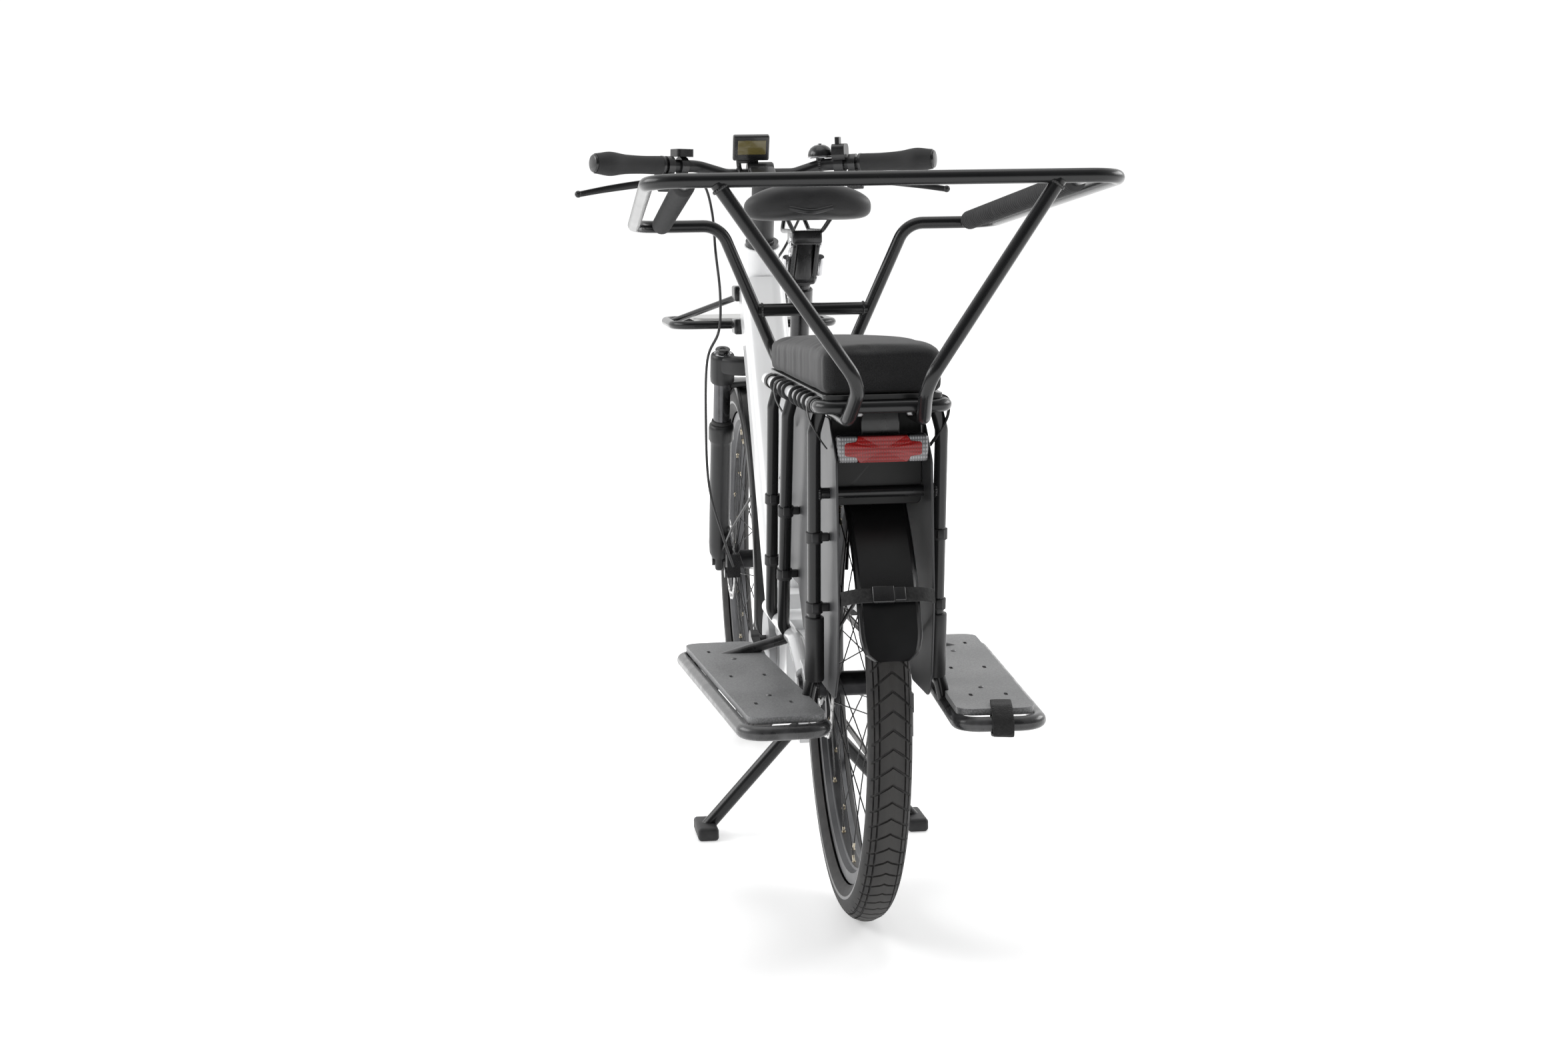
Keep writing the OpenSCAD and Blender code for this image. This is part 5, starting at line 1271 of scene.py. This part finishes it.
build("mudguard_buckle", [soft_box(strap_at + strap_out * 5 + np.array([0, 8, 0]), (15, 12, 3.4), 2.4, buckle_turn),
                          soft_box(strap_at + strap_out * 5 + np.array([0, -14, 0]), (8, 10, 3.0), 2.4, buckle_turn)],
      light_black, "frame")
tail_outline = rounded_outline([(-60, 626), (60, 626), (62, 700), (60, 758), (-60, 758), (-62, 700)], 8)
build("tail_panel", [plate(tail_outline, 0, -224, -220, 0.9)], panel_black, "frame")


# ---- Footboards ----
# A grey laminate board with six drain slots lies on each tubular frame, and a strip of hook
# tape ties the right board at its rear. Two scuffed black tubes carry each board.
def laminate_finish(name, colour, dark):
    """Board: a fine dark speckle over a cloudy grey, with thin random scratches."""
    material, tree, shader = plain_material(name, colour, 0.42)
    shader.inputs["Specular IOR Level"].default_value = 0.5
    place = tree.nodes.new("ShaderNodeTexCoord").outputs["Object"]
    speck = ranged(tree, noise_node(tree, place, 420, 3), 0.42, 0.62, 0.0, 1.0)
    cloud = ranged(tree, noise_node(tree, place, 8, 5), 0.3, 0.7, 0.0, 0.5)
    line = add(tree, "ShaderNodeTexVoronoi")
    line.feature = "DISTANCE_TO_EDGE"
    line.inputs["Scale"].default_value = 17
    bent = add(tree, "ShaderNodeVectorMath")
    bent.operation = "ADD"
    tree.links.new(place, bent.inputs[0])
    wobble = add(tree, "ShaderNodeTexNoise")
    wobble.inputs["Scale"].default_value = 16
    tree.links.new(place, wobble.inputs["Vector"])
    tree.links.new(wobble.outputs["Color"], bent.inputs[1])
    tree.links.new(bent.outputs[0], line.inputs["Vector"])
    scratch = ranged(tree, line.outputs["Distance"], 0.0, 0.012, 0.55, 0.0)
    where = ranged(tree, noise_node(tree, place, 5, 2), 0.48, 0.56, 0.0, 1.0)
    base = mixed(tree, maths(tree, "MULTIPLY", speck, 0.7), dark, colour)
    base = mixed(tree, cloud, base, tuple(c * 1.25 for c in colour))
    tree.links.new(mixed(tree, maths(tree, "MULTIPLY", scratch, where), base, tuple(c * 0.35 for c in dark)),
                   shader.inputs["Base Color"])
    tree.links.new(ranged(tree, cloud, 0.0, 0.5, 0.34, 0.5), shader.inputs["Roughness"])
    return material


laminate = laminate_finish("board_laminate", (0.25, 0.253, 0.257), (0.10, 0.101, 0.104))


def on_board(points, side=1):
    """Points measured ahead of and out from a board's rear inner corner, and above the floor."""
    p = np.asarray(points, float)
    c, s = math.cos(BOARD_SPLAY), math.sin(BOARD_SPLAY)
    x = BOARD_BACK + p[..., 0] * c - p[..., 1] * s
    y = BOARD_BACK_Y + p[..., 1] * c + p[..., 0] * s
    return np.stack([x, side * y, p[..., 2]], -1)


paint_node(laminate, "footboards")
BOARD_LENGTH = BOARD_FRONT - BOARD_BACK
board_tubes = []
for side in (1, -1):
    outer_way = on_board([[60, 2, TUBE_Z], [-10, 2, TUBE_Z], [-10, BOARD_W + 6, TUBE_Z],
                          [BOARD_LENGTH - 6, BOARD_W + 6, TUBE_Z], [BOARD_LENGTH - 6, 2, TUBE_Z],
                          [BOARD_LENGTH - 70, 2, TUBE_Z]], side)
    board_tubes.append(tube(outer_way, 30, 20, 28))
    board_tubes.append(tube(on_board([[60, 2, TUBE_Z], [BOARD_LENGTH - 70, 2, TUBE_Z]], side), 5, 20, 28))
# A strut on each side runs from the stay down to the board's outer tube.
STRUT_X, STRUT_END_Y = 150.0, 217.515
board_tubes += both_sides([tube([[STRUT_X, STAY_Y, 386], [STRUT_X, STRUT_END_Y, TUBE_Z]], 5, 16)])
scuffed_coat = finish_of("scuffed_coat", (0.0135, 0.0138, 0.0145), (0.075, 0.075, 0.077), 0.3, spread=0.12, patch=36,
                         grain=500, bump=0.12, coat=0.2)
build("footboard_tubes", board_tubes, scuffed_coat, "frame", ("footboard_frames",))
board_screws = [bolt(on_board([x, y, BOARD_TOP + 0.2], side), (0, 0, 1), 7.5, 1.2)
                for x, y in ((150, 52), (BOARD_LENGTH - 150, 52)) for side in (1, -1)]
build("board_screws", board_screws, bolt_finish, "frame")
hook_tape = finish_of("hook_tape", (0.006, 0.006, 0.0062), (0.02, 0.02, 0.02), 0.95, patch=160, grain=420, bump=1.0,
                      depth=0.0012, sheen=0.2)
tape_loop = on_board([[38, 62, BOARD_TOP + 2.6], [18, 60, BOARD_TOP + 2.6], [-3, 58, BOARD_TOP + 1.2],
                      [-23, 57, BOARD_TOP - 12], [-25, 57, BOARD_TOP - 30], [-14, 57, BOARD_TOP - 33],
                      [2, 58, BOARD_TOP - 34], [24, 60, BOARD_TOP - 14]], -1)
build("hook_tape_loop", [ribbon(tape_loop, 28, 4.0, (0, 1, 0))], hook_tape, "frame")


# ---- Fork and front wheel fittings ----
# A matt dark grey suspension fork. Its crown carries two adjuster knobs with bright rings, dark
# anodised stanchions slide in the lower legs, and a brace joins the legs over the tyre.
fork_paint = finish_of("fork_paint", (0.0125, 0.0128, 0.0136), (0.018, 0.0183, 0.0192), 0.38, spread=0.05, patch=12,
                       grain=900, bump=0.06)
stanchion_finish = finish_of("stanchion_anodising", (0.10, 0.10, 0.104), (0.12, 0.12, 0.125), 0.16, patch=50,
                             metallic=0.9)
LEG_X, LEG_Y, CROWN_LOW, CROWN_TOP = 38.0, 64.0, 366.0, 424.0


def on_leg(profile):
    """Both fork legs' turned pieces: a profile of radius and height on the leg's own axis."""
    return [knob(profile, steerer_point(LEG_X, side * LEG_Y, 0), head_axis, 40) for side in (1, -1)]


crown_cups = on_leg([(0, CROWN_LOW), (21, CROWN_LOW), (22.6, CROWN_LOW + 3), (23, CROWN_LOW + 12), (23, CROWN_TOP - 9),
                     (22, CROWN_TOP - 3), (19, CROWN_TOP), (0, CROWN_TOP)])
crown_bridge = curve_through([steerer_point(30, LEG_Y, 406), steerer_point(12, 40, 409), steerer_point(8, 0, 410),
                              steerer_point(12, -40, 409), steerer_point(30, -LEG_Y, 406)], 10)
crown_parts = crown_cups + [swept(crown_bridge, flat_section(34, 28, 0.5, 28), head_axis),
                            knob([(0, 404), (24, 404), (26, 410), (26, 428), (23, 432), (0, 432)],
                                 steerer_point(0, 0, 0), head_axis, 40)]
build("fork_crown_casting", crown_parts, fork_paint, "steering", ("fork_crown",), sharp=40)
knob_profile = [(0, CROWN_TOP + 1.6), (13.5, CROWN_TOP + 1.6), (14, CROWN_TOP + 3), (14, CROWN_TOP + 8),
                (12.8, CROWN_TOP + 9.6), (6, CROWN_TOP + 9.6), (5.4, CROWN_TOP + 8.2), (0, CROWN_TOP + 8.2)]
build("fork_knobs", on_leg(knob_profile), light_black, "steering", sharp=30)
build("fork_knob_rings", on_leg([(0, CROWN_TOP - 0.4), (16.5, CROWN_TOP - 0.4), (17, CROWN_TOP + 0.4),
                                 (17, CROWN_TOP + 1.4), (15.4, CROWN_TOP + 2), (0, CROWN_TOP + 2)]),
      polished, "steering", sharp=30)
build("stanchions", on_leg([(0, 152), (15.9, 152), (15.9, CROWN_LOW + 4), (0, CROWN_LOW + 4)]), stanchion_finish,
      "steering")
lower_profile = [(0, AXLE_H + 10), (14, AXLE_H + 10), (18.5, AXLE_H + 20), (20, AXLE_H + 40), (20, 236), (21.4, 244),
                 (24, 248), (24, 270), (23, 277), (20, 280), (16.4, 280.6), (16.4, 276)]
drop_turn = np.stack([unit(steerer_point(1, 0, 0) - steerer_point(0, 0, 0)), [0, 1, 0], unit(head_axis)], 1)
lowers = on_leg(lower_profile)
lowers += [soft_box(steerer_point(LEG_X + 3, side * LEG_Y, AXLE_H + 6), (17, 8, 22), 6, drop_turn) for side in (1, -1)]
brace = [steerer_point(LEG_X + 14, LEG_Y - 2, 252), steerer_point(LEG_X + 30, LEG_Y - 7, 300),
         steerer_point(LEG_X + 34, LEG_Y - 18, 338), steerer_point(LEG_X + 34, LEG_Y - 34, 345)]
brace = np.vstack([brace, mirrored(brace[::-1])])
lowers.append(swept(curve_through(brace, 8), flat_section(20, 12, 0.5, 24), head_axis))
build("fork_lower_legs", lowers, fork_paint, "fork_slider", ("fork_lowers",), sharp=40)
rubber_seal = finish_of("seal_rubber", (0.010, 0.010, 0.0105), (0.016, 0.016, 0.0165), 0.5, patch=60, bump=0.1)
build("fork_seals", on_leg([(16.2, 281), (19, 281), (19.4, 283), (18.4, 287), (16.2, 288)]), rubber_seal,
      "fork_slider", caps=False)
paint_node(light_black, "front_caliper", "rear_caliper", "lever_clamps", "shifter", "remote", "derailleur")


# ---- Handlebar, grips and controls ----
# A swept-back black bar on a tall forged stem. Each end has an ergonomic rubber grip with a
# round clamp cap. The right side carries a bell, and a small display stands above the stem.
bar_black = finish_of("bar_anodising", (0.015, 0.0153, 0.016), (0.023, 0.0232, 0.024), 0.3, spread=0.05, patch=16,
                      grain=1000, bump=0.05, metallic=0.25)
grip_rubber = finish_of("grip_rubber", (0.012, 0.012, 0.0126), (0.021, 0.021, 0.022), 0.66, patch=50, grain=600,
                        bump=0.5, depth=0.0005)
bar_route = across_middle([bar_middle + np.array([0, 62, 0]), grip_end + sweep_way * 208, grip_end + sweep_way * 2])
build("handlebar_tube", [tube(bar_route, 50, BAR_D, 28)], bar_black, "steering", ("handlebar",))
grip_steps = np.linspace(0, 1, 40)
palm = 17 + 4.6 * np.exp(-((grip_steps - 0.22) / 0.17) ** 2) - 0.9 * np.exp(-((grip_steps - 0.75) / 0.2) ** 2)
grip_section = round_section(2.0, 36)
grip_way = grip_end + sweep_way * (grip_steps[:, None] * GRIP_LENGTH)
grips_grid = swept(grip_way, grip_section, (0, 0, 1), palm)
build("grip_rubbers", both_sides([grips_grid]), grip_rubber, "steering", ("grips",), sharp=50)
cap_profile = [(0, -5.4), (12, -5.4), (15, -4.4), (16.6, -2), (16.8, 3), (16.2, 5), (0, 5)]
collar_profile = [(0, GRIP_LENGTH - 1), (16, GRIP_LENGTH - 1), (17.4, GRIP_LENGTH + 0.5), (17.4, GRIP_LENGTH + 4.4),
                  (16, GRIP_LENGTH + 5.6), (0, GRIP_LENGTH + 5.6)]
build("grip_clamps", both_sides([knob(cap_profile, grip_end, sweep_way, 36),
                                 knob(collar_profile, grip_end, sweep_way, 36)]),
      light_black, "steering", sharp=30)
STEM_LEAN = turn_about((0, 1, 0), -20)
column_profile = [(0, HEAD_TOP + 8.5), (20, HEAD_TOP + 8.5), (21, HEAD_TOP + 10), (21, HEAD_TOP + 132),
                  (20, HEAD_TOP + 136), (16, HEAD_TOP + 138), (0, HEAD_TOP + 138)]
clamp_profile = [(0, -24), (21, -24), (23, -21), (23, 21), (21, 24), (0, 24)]
stem_parts = [knob(column_profile, steerer_point(0, 0, 0), head_axis, 40),
              soft_box(steerer_point(STEM_REACH / 2, 0, 769), (28, 19, 17), 7, STEM_LEAN),
              knob(clamp_profile, bar_middle, (0, 1, 0), 40),
              soft_box(steerer_point(6, 0, HEAD_TOP + 133), (24, 23, 8), 5, STEM_LEAN)]
build("stem_casting", stem_parts, fork_paint, "steering", ("stem",), sharp=38)
spacer_rings = [knob([(0, h), (21.6, h), (22.2, h + 0.8), (22.2, h + 4.2), (21.6, h + 5), (0, h + 5)],
                     steerer_point(0, 0, HEAD_TOP), head_axis, 40) for h in (1, 6.4)]
build("headset_spacers", spacer_rings, bar_black, "steering")
paint_node(bar_black, "headset")
LEVER_S, LEVER_REACH = 142.0, 34.0
LEVER_DROP = math.radians(58)


def lever_point(ahead, inboard):
    """A point on the left lever's middle line, ahead of its pivot and inboard along the bar."""
    out = LEVER_REACH + ahead
    return grip_point(LEVER_S + inboard, out * math.sin(LEVER_DROP), out * math.cos(LEVER_DROP))


lever_way = curve_through([lever_point(1, 4), lever_point(3, -14), lever_point(6, -40), lever_point(18, -104),
                           lever_point(30, -156)], 10)
lever_width = 1 + 0.35 * np.exp(-((np.linspace(0, 1, len(lever_way)) - 0.55) / 0.3) ** 2)
lever_blade = swept(lever_way, flat_section(10, 8, 0.6, 20), (0, 0, 1), lever_width)
lever_ball = soft_box(lever_point(30, -158), (6.4, 6.4, 6.4), 6.4)
lever_root = soft_box(lever_point(1, -1), (7, 7, 7), 3)
for side, grids in (("left", [lever_blade, lever_ball, lever_root]),
                    ("right", [mirrored(g) for g in (lever_blade, lever_ball, lever_root)])):
    build(side + "_lever_blade", grids, bar_black, side + "_lever_body", (side + "_lever",))
bell_at = mirrored(grip_point(210, -16, 0))
bell_way = mirrored(grip_point(210, -40, 0) - grip_point(210, -16, 0))
dome_profile = [(0, -3), (20, -3), (22.6, -1), (22.6, 3), (21, 9), (17, 15), (10, 19.4), (0, 21)]
build("bell_dome", [knob(dome_profile, bell_at, bell_way, 40),
                    knob([(0, -12), (8, -12), (8, -2), (0, -2)], bell_at, bell_way, 24),
                    bead(mirrored(grip_point(210, 0, 0)), mirrored(sweep_way), BAR_D, 7.0)],
      light_black, "steering", ("bell",), sharp=40)
rim_ring = [(0, -4.2), (22.4, -4.2), (23.4, -3.4), (23.4, -1.4), (22.4, -0.6), (0, -0.6)]
build("bell_ring", [knob(rim_ring, bell_at, bell_way, 48),
                    knob([(0, 20), (4, 20), (4, 22.4), (0, 22.8)], bell_at, bell_way, 20)],
      polished, "steering", sharp=30)
display_turn = turn_about((0, 1, 0), -24)
display_at = bar_middle + np.array([-9, 18, 27]) + display_turn @ np.array([0, 0, 24])
display_case = [soft_box(display_at, (6, 33, 24), 3.4, display_turn, rows=12, columns=32),
                soft_box(display_at + display_turn @ np.array([0, 6, -26]), (4, 20, 4), 2, display_turn),
                tube([bar_middle + np.array([0, 38, 13]), bar_middle + np.array([-5, 40, 28]),
                      bar_middle + np.array([-12, 38, 32])], 8, 9, 16),
                bead(bar_middle + np.array([0, 38, 0]), (0, 1, 0), BAR_D, 9.0)]
build("display_case", display_case, light_black, "steering", ("display",), sharp=36)
screen_glass, _, screen_shader = plain_material("screen_glass", (0.118, 0.096, 0.030), 0.22)
screen_shader.inputs["Coat Weight"].default_value = 0.5
build("display_screen", [soft_box(display_at + display_turn @ np.array([-5.9, -1, 2]), (0.8, 25.5, 13.5), 0.7,
                                  display_turn)],
      screen_glass, "steering", sharp=30)


# ---- Front carrier ----
# A black tubular tray in front of the head tube, clamped to it by two blocks. Two struts brace
# it, and a thin light board lies on it.
TRAY_BACK, TRAY_FRONT, TRAY_HALF, TRAY_Z = 1205.0, 1440.0, 152.0, 805.0
carrier_route = [[TRAY_BACK, 50, TRAY_Z], [TRAY_BACK, TRAY_HALF, TRAY_Z], [TRAY_FRONT, TRAY_HALF, TRAY_Z],
                 [TRAY_FRONT, 0, TRAY_Z]]
carrier_parts = both_sides([tube(carrier_route, 40, 16, 24)])
carrier_parts.append(tube([[TRAY_BACK, -50, TRAY_Z], [TRAY_BACK, 50, TRAY_Z]], 5, 16, 24))
head_front = steerer_point(31, 0, HEAD_BOTTOM + 60)
carrier_parts += both_sides([tube([[1345, 148, TRAY_Z], [head_front[0] + 2, 30, 862]], 5, 12, 20),
                             tube([[head_front[0] - 12, 34, TRAY_Z], [TRAY_BACK, 40, TRAY_Z]], 5, 14, 20)])
carrier_blocks = both_sides([soft_box((head_front[0] - 17, 41, 866), (27, 8, 14), 4),
                             soft_box((head_front[0] - 7, 41, TRAY_Z), (27, 8, 14), 4)])
build("carrier_tubes", carrier_parts + carrier_blocks, powder_coat, "frame", ("carrier",))
pale_board = finish_of("carrier_board", (0.52, 0.52, 0.51), (0.60, 0.60, 0.59), 0.5, patch=10, bump=0.1)
carrier_plan = rounded_outline([(1250, -106), (1438, -106), (1438, 106), (1250, 106)], 12)
build("carrier_tray", [plate(carrier_plan, 2, 809, 815, 0.8)], pale_board, "frame")


# ---- Drive and stand ----
# The mid motor has a cast case in one finish. The chain, chainring, cranks and
# pedals are black or bare steel, and the twin-leg stand has rubber feet.
motor_grey = finish_of("motor_case", (0.30, 0.303, 0.31), (0.35, 0.353, 0.36), 0.42, patch=20, grain=500, bump=0.2,
                       metallic=0.5)
paint_node(motor_grey, "motor")
paint_node(bar_black, "crank_arms")
paint_node(light_black, "left_pedal", "right_pedal")
chain_steel = finish_of("chain_steel", (0.12, 0.118, 0.115), (0.2, 0.19, 0.18), 0.34, patch=200, metallic=0.9)
paint_node(chain_steel, "chain", "chainring", "cassette")
stand_route = across_middle([[478, 30, 178], [504, 172, 14]])
build("stand_legs", [tube(stand_route, 26, 22, 24)], powder_coat, "stand", ("kickstand",))
stand_hub = knob([(0, -23), (11.6, -23), (12, -22), (12, 22), (11.6, 23), (0, 23)], (478, 0, 178), (0, 1, 0), 32)
stand_feet = [soft_box((504, side * 173, 11), (46, 17, 11), 6) for side in (1, -1)]
build("stand_feet", stand_feet + [stand_hub], band_rubber, "stand", sharp=36)
